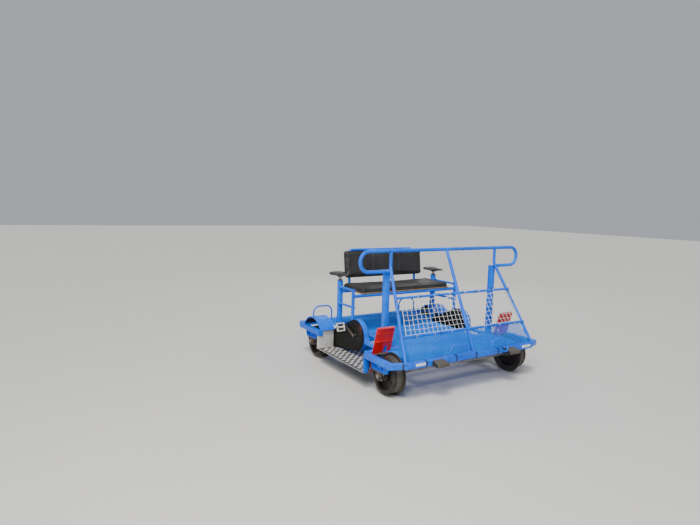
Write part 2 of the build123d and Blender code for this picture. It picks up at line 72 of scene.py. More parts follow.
# ---------------------------------------------------------------- mesh code
class Mesh:
    """Collects parts of one piece, in millimetres, with a material slot and shading for each part."""

    def __init__(self):
        self.v, self.f, self.m, self.s, self.n = [], [], [], [], 0

    def add(self, verts, faces, mat=0, smooth=True, matrix=None):
        verts = np.asarray([tuple(p) for p in verts], dtype=float).reshape(-1, 3)
        if matrix is not None:
            a = np.array(matrix)
            verts = verts @ a[:3, :3].T + a[:3, 3]
            if np.linalg.det(a[:3, :3]) < 0:
                faces = [tuple(reversed(f)) for f in faces]
        self.v.append(verts)
        n = self.n
        self.f.extend([tuple(i + n for i in f) for f in faces])
        self.m.extend(mat if isinstance(mat, list) else [mat] * len(faces))
        self.s.extend([smooth] * len(faces))
        self.n += len(verts)
        return self

    def add_mesh(self, me, mat=0, matrix=None, smooth=True):
        verts = [v.co[:] for v in me.vertices]
        faces = [tuple(p.vertices) for p in me.polygons]
        return self.add(verts, faces, mat, smooth, matrix)

    def mirrored(self):
        """The same parts on the other side of the middle plane, added to these."""
        flip = np.array([1.0, -1.0, 1.0])
        verts = np.concatenate(self.v) * flip
        n, faces, mats, smooth = self.n, list(self.f), list(self.m), list(self.s)
        self.v.append(verts)
        self.f.extend([tuple(i + n for i in reversed(f)) for f in faces])
        self.m.extend(mats)
        self.s.extend(smooth)
        self.n += len(verts)
        return self

    def to(self, name, body, mats, replaces=(), angle=32.0):
        verts = np.concatenate(self.v) / 1000.0
        me = bpy.data.meshes.new(name)
        me.from_pydata(verts.tolist(), [], self.f)
        for m in mats:
            me.materials.append(m)
        me.polygons.foreach_set("material_index", self.m)
        me.polygons.foreach_set("use_smooth", self.s)
        me.update()
        if angle is not None:
            me.set_sharp_from_angle(angle=radians(angle))
        ob = bpy.data.objects.new(name, me)
        bpy.context.scene.collection.objects.link(ob)
        place(ob, body, replaces)
        return ob


def place(ob, body, replaces=()):
    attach(ob, body)
    if replaces:
        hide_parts(*([replaces] if isinstance(replaces, str) else replaces))


def frame_of(axis, x_hint=None):
    """Rotation whose z is axis."""
    z = V(axis).normalized()
    hint = V(x_hint) if x_hint is not None else (V((1, 0, 0)) if abs(z.x) < 0.9 else V((0, 1, 0)))
    x = (hint - z * hint.dot(z)).normalized()
    y = z.cross(x)
    return Matrix(((x.x, y.x, z.x), (x.y, y.y, z.y), (x.z, y.z, z.z)))


def at(pos, axis=(0, 0, 1), x_hint=None):
    return Matrix.Translation(V(pos)) @ frame_of(axis, x_hint).to_4x4()


def rounded(points, radii, seg=6, closed=True):
    """Polygon or polyline with its corners rounded by arcs."""
    pts = [V(p) for p in points]
    n = len(pts)
    rr = radii if isinstance(radii, (list, tuple)) else [radii] * n
    out = []
    for i in range(n):
        if not closed and i in (0, n - 1):
            out.append(pts[i])
            continue
        p, a, b = pts[i], pts[i - 1], pts[(i + 1) % n]
        u, w = (a - p).normalized(), (b - p).normalized()
        ang = u.angle(w) if u.length and w.length else pi
        if rr[i] <= 0 or ang > pi - 0.02:
            out.append(p)
            continue
        d = min(rr[i] / math.tan(ang / 2), 0.49 * (a - p).length, 0.49 * (b - p).length)
        r = d * math.tan(ang / 2)
        c = p + (u + w).normalized() * (r / sin(ang / 2))
        s, e = p + u * d - c, p + w * d - c
        k = max(2, int(seg * (pi - ang) / (pi / 2)) + 1)
        th = s.angle(e)
        for j in range(k + 1):
            t = j / k
            out.append(c + (s * sin((1 - t) * th) + e * sin(t * th)) / sin(th))
    return out


def ring_faces(a, b, n, closed=True):
    return [(a + i, a + (i + 1) % n, b + (i + 1) % n, b + i) for i in range(n if closed else n - 1)]


def lathe(profile, seg=64, start=0.0, end=2 * pi):
    """Profile of (radius, along z), turned round z. Ends on the axis are capped by a point."""
    full = abs(end - start - 2 * pi) < 1e-6
    verts, faces, rows = [], [], []
    count = seg if full else seg + 1
    for r, z in profile:
        if r < 1e-6:
            rows.append((len(verts), 1))
            verts.append((0, 0, z))
        else:
            rows.append((len(verts), count))
            for i in range(count):
                a = start + (end - start) * i / seg
                verts.append((r * cos(a), r * sin(a), z))
    for (a, na), (b, nb) in zip(rows, rows[1:]):
        for i in range(seg):
            j = (i + 1) % count if full else i + 1
            if na == 1 and nb == 1:
                continue
            if na == 1:
                faces.append((a, b + j, b + i))
            elif nb == 1:
                faces.append((a + i, a + j, b))
            else:
                faces.append((a + i, a + j, b + j, b + i))
    return verts, faces


def sweep(path, profile, closed=False, caps=True, up=None, scale=None):
    """Profile points (x, y) carried along path. scale gives a factor per path point."""
    pts = [V(p) for p in path]
    n, k = len(pts), len(profile)
    tangents = []
    for i in range(n):
        if closed:
            t = pts[(i + 1) % n] - pts[i - 1]
        else:
            t = pts[min(i + 1, n - 1)] - pts[max(i - 1, 0)]
        tangents.append(t.normalized())
    t0 = tangents[0]
    if up is None:
        up = V((0, 0, 1)) if abs(t0.z) < 0.9 else V((1, 0, 0))
    nrm = (V(up) - t0 * V(up).dot(t0)).normalized()
    verts = []
    for i, (p, t) in enumerate(zip(pts, tangents)):
        if i:
            nrm = (nrm - t * nrm.dot(t)).normalized()
        side = t.cross(nrm)
        f = 1.0 if scale is None else scale[i]
        for x, y in profile:
            verts.append(p + (side * x + nrm * y) * f)
    faces = []
    for i in range(n if closed else n - 1):
        faces += ring_faces(i * k, ((i + 1) % n) * k, k)
    if caps and not closed:
        faces.append(tuple(range(k - 1, -1, -1)))
        faces.append(tuple((n - 1) * k + j for j in range(k)))
    faces = [tuple(reversed(f)) for f in faces]
    return verts, faces


def circle(r, n=20):
    return [(r * cos(2 * pi * i / n), r * sin(2 * pi * i / n)) for i in range(n)]


def tube(m, points, r, bends=0.0, seg=20, mat=0, arc=8):
    path = rounded(points, bends, arc, closed=False)
    v, f = sweep(path, circle(r, seg))
    m.add(v, f, mat)
    return path


def bead(m, path, r=2.6, mat=0, closed=True, seg=7, wobble=0.22):
    """A weld bead: a small round ridge whose thickness ripples along its run."""
    fine = []
    pts = [V(p) for p in path]
    n = len(pts)
    for i in range(n if closed else n - 1):
        a, b = pts[i], pts[(i + 1) % n]
        k = max(1, int((b - a).length / 3.2))
        fine += [a.lerp(b, j / k) for j in range(k)]
    if not closed:
        fine.append(pts[-1])
    sc = [1.0 + wobble * sin(i * 2.1) + R.uniform(-0.08, 0.08) for i in range(len(fine))]
    v, f = sweep(fine, circle(r, seg), closed=closed, scale=sc)
    m.add(v, f, mat)


def tee(m, end, direction, r, target, axis, big, mat=0, bead_r=2.6):
    """Weld bead where a tube of radius r meets a round bar of radius big with the given axis at target."""
    d, ax, c = V(direction).normalized(), V(axis).normalized(), V(target)
    rot = frame_of(d)
    ring = []
    for i in range(20):
        a = 2 * pi * i / 20
        p = V(end) + rot @ V((r * cos(a), r * sin(a), 0))
        # march along d until the distance to the bar's axis is big
        lo, hi = -3.0 * (r + big), 3.0 * (r + big)
        best = None
        for j in range(61):
            s = lo + (hi - lo) * j / 60
            q = p + d * s - c
            dist = (q - ax * q.dot(ax)).length
            if dist <= big:
                best = s
                break
        if best is None:
            best = 0.0
        ring.append(p + d * (best - 0.5))
    bead(m, ring, bead_r, mat)


def prism(outline, holes=(), thick=3.0, bevel=0.6, bevel_res=1):
    """A plate from a flat outline with holes, its middle plane at z = 0, with rounded edges. Returns a Blender mesh."""
    cu = bpy.data.curves.new("tmp", "CURVE")
    cu.dimensions = "2D"
    cu.fill_mode = "BOTH"
    cu.extrude = max(thick / 2 - bevel, 0.001)
    cu.bevel_depth = bevel
    cu.bevel_resolution = bevel_res
    cu.offset = -bevel
    for ring in [outline, *holes]:
        sp = cu.splines.new("POLY")
        sp.points.add(len(ring) - 1)
        for q, p in zip(sp.points, ring):
            q.co = (p[0], p[1], 0, 1)
        sp.use_cyclic_u = True
    ob = bpy.data.objects.new("tmp", cu)
    bpy.context.scene.collection.objects.link(ob)
    bpy.context.view_layer.update()
    me = bpy.data.meshes.new_from_object(ob.evaluated_get(bpy.context.evaluated_depsgraph_get()))
    bpy.data.objects.remove(ob)
    bpy.data.curves.remove(cu)
    bm = bmesh.new()
    bm.from_mesh(me)
    bmesh.ops.remove_doubles(bm, verts=bm.verts, dist=0.01)
    bmesh.ops.recalc_face_normals(bm, faces=bm.faces)
    bm.to_mesh(me)
    bm.free()
    return me


def plate(m, outline, pos, axis=(0, 0, 1), x_hint=None, holes=(), thick=3.0, bevel=0.6, mat=0, res=1):
    me = prism(outline, holes, thick, bevel, res)
    m.add_mesh(me, mat, at(pos, axis, x_hint))
    bpy.data.meshes.remove(me)


def box(m, x0, x1, y0, y1, z0, z1, bevel=1.0, mat=0, seg=2):
    """A block with rounded edges."""
    bm = bmesh.new()
    bmesh.ops.create_cube(bm, size=1.0)
    bmesh.ops.scale(bm, vec=(abs(x1 - x0), abs(y1 - y0), abs(z1 - z0)), verts=bm.verts)
    bmesh.ops.translate(bm, vec=((x0 + x1) / 2, (y0 + y1) / 2, (z0 + z1) / 2), verts=bm.verts)
    if bevel > 0:
        bmesh.ops.bevel(bm, geom=list(bm.edges), offset=bevel, segments=seg, profile=0.5, affect="EDGES")
    verts = [v.co[:] for v in bm.verts]
    bm.verts.index_update()
    faces = [tuple(v.index for v in f.verts) for f in bm.faces]
    bm.free()
    m.add(verts, faces, mat)


def bolt(m, pos, axis, af=13.0, mat=0, washer=True, stud=0.0):
    """A hex head with a chamfered top, over a washer, standing on pos along axis."""
    t = at(pos, axis, None)
    turn = Matrix.Rotation(R.uniform(0, pi / 3), 4, "Z")
    r, h = af / 2 / cos(pi / 6), af * 0.62
    z = 0.0
    if washer:
        v, f = lathe([(0, 0), (af * 0.95, 0), (af * 0.98, 0.5), (af * 0.95, 1.8), (0, 1.8)], 20)
        m.add(v, f, mat, True, t)
        z = 1.6
    hexa = [(r * cos(i * pi / 3), r * sin(i * pi / 3)) for i in range(6)]
    verts = [(x, y, z) for x, y in hexa] + [(x, y, z + h * 0.86) for x, y in hexa]
    verts += [(x * 0.88, y * 0.88, z + h) for x, y in hexa]
    faces = ring_faces(0, 6, 6) + ring_faces(6, 12, 6) + [tuple(range(12, 18)), tuple(range(5, -1, -1))]
    m.add(verts, faces, mat, False, t @ turn)
    if stud:
        v, f = lathe([(0, z), (af * 0.3, z), (af * 0.3, z + h + stud - 0.8), (af * 0.25, z + h + stud), (0, z + h + stud)], 14)
        m.add(v, f, mat, True, t)


def inside(poly, x, y):
    c, j = False, len(poly) - 1
    for i in range(len(poly)):
        (xi, yi), (xj, yj) = poly[i], poly[j]
        if (yi > y) != (yj > y) and x < (xj - xi) * (y - yi) / (yj - yi) + xi:
            c = not c
        j = i
    return c


def expanded(m, poly, lwd, swd, width, thick, matrix, mat=0, tilt=0.35):
    """Expanded metal inside a flat outline: lwd along y, swd along x. Strands are bars that rise across their width."""
    xs, ys = [p[0] for p in poly], [p[1] for p in poly]
    x0, x1, y0, y1 = min(xs), max(xs), min(ys), max(ys)
    verts, faces = [], []
    nx, ny = int((x1 - x0) / (swd / 2)) + 1, int((y1 - y0) / (lwd / 2)) + 1
    node = lambda i, j: (x0 + i * swd / 2, y0 + j * lwd / 2)
    for i in range(nx):
        for j in range(ny):
            if (i + j) % 2:
                continue
            ax, ay = node(i, j)
            for di in (-1, 1):
                bx, by = node(i + di, j + 1)
                if not (inside(poly, ax, ay) and inside(poly, bx, by)):
                    continue
                dx, dy = bx - ax, by - ay
                ln = hypot(dx, dy)
                ux, uy = dx / ln, dy / ln
                px, py = -uy * width / 2, ux * width / 2
                up = tilt * width / 2 * (1 if di > 0 else -1)
                # each strand runs on 1.2 mm past its end nodes
                ex, ey = ux * 1.2, uy * 1.2
                n = len(verts)
                for cx, cy in ((ax - ex, ay - ey), (bx + ex, by + ey)):
                    for sx, sz in ((-1, -1), (1, -1), (1, 1), (-1, 1)):
                        verts.append((cx + px * sx, cy + py * sx, sz * thick / 2 + up * sx))
                faces += [(n, n + 1, n + 5, n + 4), (n + 1, n + 2, n + 6, n + 5), (n + 2, n + 3, n + 7, n + 6),
                          (n + 3, n, n + 4, n + 7), (n + 3, n + 2, n + 1, n), (n + 4, n + 5, n + 6, n + 7)]
    m.add(verts, faces, mat, False, matrix)


# ---------------------------------------------------------------- materials
class Tree:
    """Short names for building one procedural material."""

    def __init__(self, name):
        self.mat = bpy.data.materials.new(name)
        self.mat.use_nodes = True
        self.nt = self.mat.node_tree
        self.nt.nodes.clear()
        self.out = self.nt.nodes.new("ShaderNodeOutputMaterial")
        self.bsdf = self.nt.nodes.new("ShaderNodeBsdfPrincipled")
        self.nt.links.new(self.bsdf.outputs[0], self.out.inputs[0])
        self.tc = self.nt.nodes.new("ShaderNodeTexCoord").outputs["Object"]
        self.geo = self.nt.nodes.new("ShaderNodeNewGeometry")

    def link(self, a, b):
        self.nt.links.new(a, b)
        return self

    def coords(self, scale=(1, 1, 1), rot=(0, 0, 0), src=None):
        n = self.nt.nodes.new("ShaderNodeMapping")
        n.inputs["Scale"].default_value = scale
        n.inputs["Rotation"].default_value = rot
        self.link(src or self.tc, n.inputs[0])
        return n.outputs[0]

    def noise(self, scale, detail=4.0, rough=0.55, src=None, dist=0.0):
        n = self.nt.nodes.new("ShaderNodeTexNoise")
        n.inputs["Scale"].default_value = scale
        n.inputs["Detail"].default_value = detail
        n.inputs["Roughness"].default_value = rough
        n.inputs["Distortion"].default_value = dist
        self.link(src or self.tc, n.inputs["Vector"])
        return n.outputs["Fac"]

    def voronoi(self, scale, feature="F1", src=None, rand=1.0):
        n = self.nt.nodes.new("ShaderNodeTexVoronoi")
        n.feature = feature
        n.inputs["Scale"].default_value = scale
        n.inputs["Randomness"].default_value = rand
        self.link(src or self.tc, n.inputs["Vector"])
        return n.outputs["Distance"]

    def wave(self, scale, src=None, dist=0.0, axis="X", profile="SIN", detail=0.0):
        n = self.nt.nodes.new("ShaderNodeTexWave")
        n.bands_direction = axis
        n.wave_profile = profile
        n.inputs["Scale"].default_value = scale
        n.inputs["Distortion"].default_value = dist
        n.inputs["Detail"].default_value = detail
        self.link(src or self.tc, n.inputs["Vector"])
        return n.outputs["Fac"]

    def ramp(self, fac, stops, mode="LINEAR"):
        n = self.nt.nodes.new("ShaderNodeValToRGB")
        cr = n.color_ramp
        cr.interpolation = mode
        while len(cr.elements) < len(stops):
            cr.elements.new(0.5)
        for e, (p, c) in zip(cr.elements, stops):
            e.position = p
            c = c if isinstance(c, (tuple, list)) else (c, c, c)
            e.color = (*c[:3], 1)
        self.link(fac, n.inputs[0])
        return n.outputs[0]

    def math(self, op, a, b=None, clamp=False):
        n = self.nt.nodes.new("ShaderNodeMath")
        n.operation = op
        n.use_clamp = clamp
        for i, x in enumerate((a, b)):
            if x is None:
                continue
            if isinstance(x, (int, float)):
                n.inputs[i].default_value = x
            else:
                self.link(x, n.inputs[i])
        return n.outputs[0]

    def mix(self, fac, a, b, mode="MIX"):
        n = self.nt.nodes.new("ShaderNodeMix")
        n.data_type = "RGBA"
        n.blend_type = mode
        for sock, x in ((n.inputs[0], fac), (n.inputs[6], a), (n.inputs[7], b)):
            if isinstance(x, (int, float)):
                sock.default_value = x if sock is n.inputs[0] else (x, x, x, 1)
            elif isinstance(x, (tuple, list)):
                sock.default_value = (*x[:3], 1)
            else:
                self.link(x, sock)
        return n.outputs[2]

    def up(self):
        """How far the surface faces up, 0 to 1."""
        n = self.nt.nodes.new("ShaderNodeSeparateXYZ")
        self.link(self.geo.outputs["Normal"], n.inputs[0])
        return self.math("MAXIMUM", n.outputs[2], 0.0)

    def axis(self, which, src=None):
        n = self.nt.nodes.new("ShaderNodeSeparateXYZ")
        self.link(src or self.tc, n.inputs[0])
        return n.outputs["XYZ".index(which)]

    def edges(self, radius=0.003):
        """1 along edges and corners, by comparing the rounded normal with the true one."""
        b = self.nt.nodes.new("ShaderNodeBevel")
        b.samples = 4
        b.inputs["Radius"].default_value = radius
        n = self.nt.nodes.new("ShaderNodeVectorMath")
        n.operation = "DOT_PRODUCT"
        self.link(b.outputs[0], n.inputs[0])
        self.link(self.geo.outputs["Normal"], n.inputs[1])
        return self.math("SUBTRACT", 1.0, n.outputs["Value"], True)

    def bump(self, height, strength=0.2, dist=0.001, normal=None):
        n = self.nt.nodes.new("ShaderNodeBump")
        n.inputs["Strength"].default_value = strength
        n.inputs["Distance"].default_value = dist
        self.link(height, n.inputs["Height"])
        if normal is not None:
            self.link(normal, n.inputs["Normal"])
        return n.outputs[0]

    def set(self, **kw):
        names = {"color": "Base Color", "rough": "Roughness", "metal": "Metallic", "normal": "Normal",
                 "spec": "Specular IOR Level", "coat": "Coat Weight", "coat_rough": "Coat Roughness",
                 "sheen": "Sheen Weight", "sheen_rough": "Sheen Roughness"}
        for k, x in kw.items():
            sock = self.bsdf.inputs[names[k]]
            if isinstance(x, (int, float)):
                sock.default_value = x
            elif isinstance(x, (tuple, list)):
                sock.default_value = (*x[:3], 1)
            else:
                self.link(x, sock)
        return self.mat


def painted(name, base, light, dark, chip=(0.10, 0.045, 0.02), rough=0.34, dust=0.35, wear=0.5, rust=0.25,
            dust_color=(0.34, 0.31, 0.27), coat=0.12, spec=0.5, streaks=False):
    t = Tree(name)
    big = t.noise(3.1, 3, 0.6)
    fine = t.noise(46.0, 6, 0.62)
    grain = t.noise(420.0, 3, 0.5)
    col = t.mix(t.ramp(big, [(0.36, 0.0), (0.66, 1.0)]), base, light)
    col = t.mix(t.math("MULTIPLY", t.ramp(fine, [(0.46, 0.0), (0.72, 1.0)]), 0.5), col, dark)
    # rubbed edges: lighter paint, then bare rusty spots
    edge = t.edges(0.0035)
    rub = t.math("MULTIPLY", t.ramp(edge, [(0.02, 0.0), (0.22, 1.0)]), t.ramp(fine, [(0.40, 0.0), (0.60, 1.0)]))
    col = t.mix(t.math("MULTIPLY", rub, wear), col, light)
    spot = t.noise(88.0, 5, 0.7)
    spots = t.ramp(spot, [(0.655, 0.0), (0.69, 1.0)])
    chipped = t.math("MULTIPLY", t.math("MAXIMUM", t.math("MULTIPLY", rub, t.ramp(spot, [(0.50, 0.0), (0.60, 1.0)])),
                                         t.math("MULTIPLY", spots, 0.6)), rust, True)
    col = t.mix(chipped, col, chip)
    # dust lies on what faces up, and in patches
    up = t.math("POWER", t.up(), 2.0)
    patch = t.ramp(t.noise(7.0, 5, 0.65), [(0.35, 0.15), (0.75, 1.0)])
    lay = t.math("MULTIPLY", t.math("MULTIPLY", up, patch), dust)
    low = t.ramp(t.axis("Z"), [(0.05, 1.0), (0.36, 0.0)])
    lay = t.math("MAXIMUM", lay, t.math("MULTIPLY", t.math("MULTIPLY", low, patch), dust * 1.1))
    col = t.mix(lay, col, dust_color)
    if streaks:
        run = t.ramp(t.noise(34.0, 5, 0.65, src=t.coords((1.0, 1.0, 0.16))), [(0.48, 0.0), (0.60, 1.0)])
        reach = t.math("MULTIPLY", t.ramp(t.axis("X"), [(0.0, 0.0), (0.03, 1.0)]), t.ramp(t.axis("Z"), [(0.36, 0.0), (0.43, 1.0)]))
        col = t.mix(t.math("MULTIPLY", t.math("MULTIPLY", run, reach), 0.85), col, (0.085, 0.026, 0.010))
    rg = t.math("ADD", t.math("MULTIPLY", fine, 0.16), rough - 0.08)
    rg = t.math("ADD", rg, t.math("ADD", t.math("MULTIPLY", lay, 0.45), t.math("MULTIPLY", chipped, 0.4)), True)
    h = t.math("ADD", t.math("MULTIPLY", grain, 0.35), t.math("MULTIPLY", fine, 0.65))
    h = t.math("SUBTRACT", h, t.math("MULTIPLY", chipped, 1.2))
    return t.set(color=col, rough=rg, normal=t.bump(h, 0.22, 0.0006), coat=coat, coat_rough=0.25,
                 spec=spec)


def metal(name, base, dark, rough=0.4, brush=None, rust=0.0, rust_color=(0.16, 0.06, 0.025), metal=0.9, dust=0.15):
    t = Tree(name)
    src = t.coords(brush) if brush else t.tc
    streak = t.noise(60.0, 5, 0.6, src=src)
    big = t.noise(9.0, 4, 0.6)
    col = t.mix(t.ramp(streak, [(0.35, 0.0), (0.7, 1.0)]), base, dark)
    stain = t.math("MULTIPLY", t.ramp(big, [(0.45, 0.0), (0.7, 1.0)]), rust)
    col = t.mix(stain, col, rust_color)
    up = t.math("MULTIPLY", t.math("POWER", t.up(), 2.0), dust)
    lay = t.math("MULTIPLY", up, t.ramp(t.noise(14.0, 4, 0.6), [(0.3, 0.2), (0.7, 1.0)]))
    col = t.mix(lay, col, (0.33, 0.30, 0.26))
    mt = t.math("SUBTRACT", metal, t.math("ADD", t.math("MULTIPLY", stain, 0.8), t.math("MULTIPLY", lay, 0.8)), True)
    rg = t.math("ADD", t.math("MULTIPLY", streak, 0.2), t.math("ADD", rough - 0.1, t.math("MULTIPLY", stain, 0.3)), True)
    rg = t.math("ADD", rg, t.math("MULTIPLY", lay, 0.4), True)
    h = t.math("ADD", streak, t.math("MULTIPLY", stain, 0.8))
    return t.set(color=col, rough=rg, metal=mt, normal=t.bump(h, 0.25, 0.0005))


BLUE = painted("blue_paint", (0.0, 0.112, 0.72), (0.0, 0.185, 0.90), (0.0, 0.052, 0.42), dust=0.02,
               rust=0.22, coat=0.0, spec=0.30)
BLUE_MESH = painted("blue_mesh_paint", (0.0, 0.118, 0.70), (0.003, 0.27, 0.90), (0.0, 0.050, 0.36), dust=0.03, wear=0.9,
                    rust=0.35, rough=0.42, coat=0.0, spec=0.28)
RED = painted("red_paint", (0.68, 0.006, 0.005), (0.84, 0.022, 0.012), (0.38, 0.003, 0.003), dust=0.06, rough=0.32, wear=0.3)
BLACK = painted("black_cover_paint", (0.006, 0.006, 0.006), (0.012, 0.0115, 0.011), (0.003, 0.003, 0.003),
                chip=(0.17, 0.06, 0.02), rough=0.42, dust=0.05, rust=0.9, dust_color=(0.09, 0.075, 0.06), coat=0.0, spec=0.16, streaks=True)
ALU = metal("aluminium_plate", (0.86, 0.86, 0.84), (0.60, 0.60, 0.58), 0.45, dust=0.20, rust=0.25, metal=0.35,
            rust_color=(0.20, 0.15, 0.10))
STEEL = metal("bare_steel", (0.48, 0.47, 0.45), (0.25, 0.24, 0.23), 0.36, rust=0.35)
DARK = metal("dark_steel", (0.09, 0.085, 0.08), (0.04, 0.038, 0.036), 0.55, rust=0.7, metal=0.5, dust=0.4)
ZINC = metal("zinc_bolts", (0.56, 0.55, 0.52), (0.34, 0.33, 0.31), 0.4, rust=0.35)


def wheel_material():
    """Dark wheel: polished, dusty tread and flange, dull painted web."""
    t = Tree("wheel_steel")
    big, fine = t.noise(8.0, 4, 0.6), t.noise(70.0, 5, 0.6)
    col = t.mix(t.ramp(big, [(0.35, 0.0), (0.68, 1.0)]), (0.018, 0.017, 0.016), (0.045, 0.040, 0.034))
    dusty = t.ramp(fine, [(0.42, 0.0), (0.70, 1.0)])
    col = t.mix(t.math("MULTIPLY", dusty, 0.55), col, (0.09, 0.078, 0.062))
    rust = t.ramp(t.noise(24.0, 6, 0.7), [(0.56, 0.0), (0.68, 1.0)])
    col = t.mix(t.math("MULTIPLY", rust, 0.5), col, (0.15, 0.055, 0.02))
    rg = t.math("ADD", 0.46, t.math("MULTIPLY", fine, 0.3), True)
    return t.set(color=col, rough=rg, metal=0.35, normal=t.bump(t.math("ADD", fine, t.math("MULTIPLY", big, 0.4)), 0.35, 0.0008))


def tread_material():
    """Running surface: tan dust over rubbed metal, in fine rings round the axle."""
    t = Tree("wheel_tread")
    rings = t.noise(260.0, 3, 0.6, src=t.coords((0.02, 1.0, 0.02)))
    fine = t.noise(60.0, 5, 0.65)
    col = t.mix(t.ramp(rings, [(0.35, 0.0), (0.7, 1.0)]), (0.068, 0.062, 0.052), (0.15, 0.135, 0.11))
    col = t.mix(t.math("MULTIPLY", t.ramp(fine, [(0.45, 0.0), (0.75, 1.0)]), 0.6), col, (0.06, 0.052, 0.042))
    rg = t.math("ADD", 0.40, t.math("MULTIPLY", fine, 0.3), True)
    return t.set(color=col, rough=rg, metal=0.45, normal=t.bump(t.math("ADD", rings, fine), 0.3, 0.0006))


WHEEL, TREAD = wheel_material(), tread_material()


def rubber_material():
    t = Tree("buffer_rubber")
    fine, big = t.noise(60.0, 6, 0.65), t.noise(11.0, 4, 0.6)
    col = t.mix(t.ramp(fine, [(0.4, 0.0), (0.75, 1.0)]), (0.012, 0.012, 0.012), (0.035, 0.033, 0.030))
    n = t.nt.nodes.new("ShaderNodeSeparateXYZ")
    t.link(t.geo.outputs["Normal"], n.inputs[0])
    front = t.math("POWER", t.math("MAXIMUM", n.outputs[0], 0.0), 3.0)
    lay = t.math("MULTIPLY", t.math("MAXIMUM", front, t.math("MULTIPLY", t.up(), 0.8)), t.ramp(big, [(0.25, 0.35), (0.7, 1.0)]))
    col = t.mix(t.math("MULTIPLY", lay, 0.9), col, (0.13, 0.115, 0.09))
    rg = t.math("ADD", 0.62, t.math("MULTIPLY", fine, 0.3), True)
    return t.set(color=col, rough=rg, normal=t.bump(t.math("ADD", fine, big), 0.5, 0.001))


RUBBER = rubber_material()


def plain_black(name="black_plastic", base=(0.012, 0.012, 0.013), rough=0.42):
    t = Tree(name)
    fine = t.noise(150.0, 4, 0.6)
    col = t.mix(t.ramp(fine, [(0.4, 0.0), (0.75, 1.0)]), base, tuple(b * 2.6 for b in base))
    rg = t.math("ADD", rough - 0.05, t.math("MULTIPLY", fine, 0.2), True)
    return t.set(color=col, rough=rg, normal=t.bump(fine, 0.2, 0.0004))


PLASTIC = plain_black()


def rope_material():
    t = Tree("net_rope")
    strands = t.wave(620.0, src=t.coords((1, 1, 1), (0.5, 0.4, 0.7)), dist=1.5, axis="DIAGONAL")
    fine = t.noise(300.0, 4, 0.6)
    dirt = t.noise(10.0, 4, 0.6)
    col = t.mix(strands, (0.62, 0.64, 0.65), (0.88, 0.90, 0.90))
    col = t.mix(t.math("MULTIPLY", t.ramp(dirt, [(0.4, 0.0), (0.75, 1.0)]), 0.30), col, (0.46, 0.46, 0.44))
    return t.set(color=col, rough=0.85, normal=t.bump(t.math("ADD", strands, fine), 0.5, 0.0006), sheen=0.25, sheen_rough=0.5)


ROPE = rope_material()


def vinyl_material():
    """Black coated fabric with a fine leather grain, greyed by dust and rubbing."""
    t = Tree("black_vinyl")
    cells = t.voronoi(520.0, "DISTANCE_TO_EDGE")
    fine, big = t.noise(240.0, 4, 0.6), t.noise(6.0, 4, 0.6)
    col = t.mix(t.ramp(big, [(0.35, 0.0), (0.7, 1.0)]), (0.012, 0.012, 0.013), (0.030, 0.030, 0.031))
    col = t.mix(t.math("MULTIPLY", t.ramp(fine, [(0.5, 0.0), (0.75, 1.0)]), 0.35), col, (0.07, 0.068, 0.064))
    up = t.math("MULTIPLY", t.math("POWER", t.up(), 3.0), t.ramp(big, [(0.3, 0.1), (0.7, 0.45)]))
    col = t.mix(t.math("MULTIPLY", up, 0.5), col, (0.15, 0.14, 0.125))
    rg = t.math("ADD", 0.40, t.math("ADD", t.math("MULTIPLY", fine, 0.12), t.math("MULTIPLY", big, 0.15)), True)
    h = t.math("ADD", t.ramp(cells, [(0.0, 0.0), (0.12, 1.0)]), t.math("MULTIPLY", fine, 0.3))
    return t.set(color=col, rough=rg, normal=t.bump(h, 0.35, 0.0005))


VINYL = vinyl_material()


def plywood_material():
    t = Tree("plywood")
    grain = t.noise(24.0, 6, 0.6, src=t.coords((6.0, 0.5, 6.0)), dist=0.6)
    fine = t.noise(200.0, 3, 0.5, src=t.coords((4.0, 0.6, 4.0)))
    col = t.mix(t.ramp(grain, [(0.35, 0.0), (0.68, 1.0)]), (0.20, 0.13, 0.07), (0.38, 0.27, 0.16))
    col = t.mix(t.math("MULTIPLY", fine, 0.4), col, (0.12, 0.08, 0.045))
    return t.set(color=col, rough=0.6, normal=t.bump(t.math("ADD", grain, fine), 0.3, 0.0006))


PLY = plywood_material()


def label_material():
    """Blank reflective sheet: white, with a fine honeycomb and patches of grime."""
    t = Tree("blank_reflective_label")
    hexes = t.voronoi(330.0, "DISTANCE_TO_EDGE")
    dirt = t.noise(40.0, 5, 0.6)
    col = t.mix(t.ramp(hexes, [(0.02, 0.0), (0.08, 1.0)]), (0.62, 0.64, 0.66), (0.86, 0.88, 0.89))
    col = t.mix(t.math("MULTIPLY", t.ramp(dirt, [(0.5, 0.0), (0.75, 1.0)]), 0.4), col, (0.45, 0.42, 0.37))
    return t.set(color=col, rough=0.3, normal=t.bump(hexes, 0.15, 0.0004), coat=0.4, coat_rough=0.1)


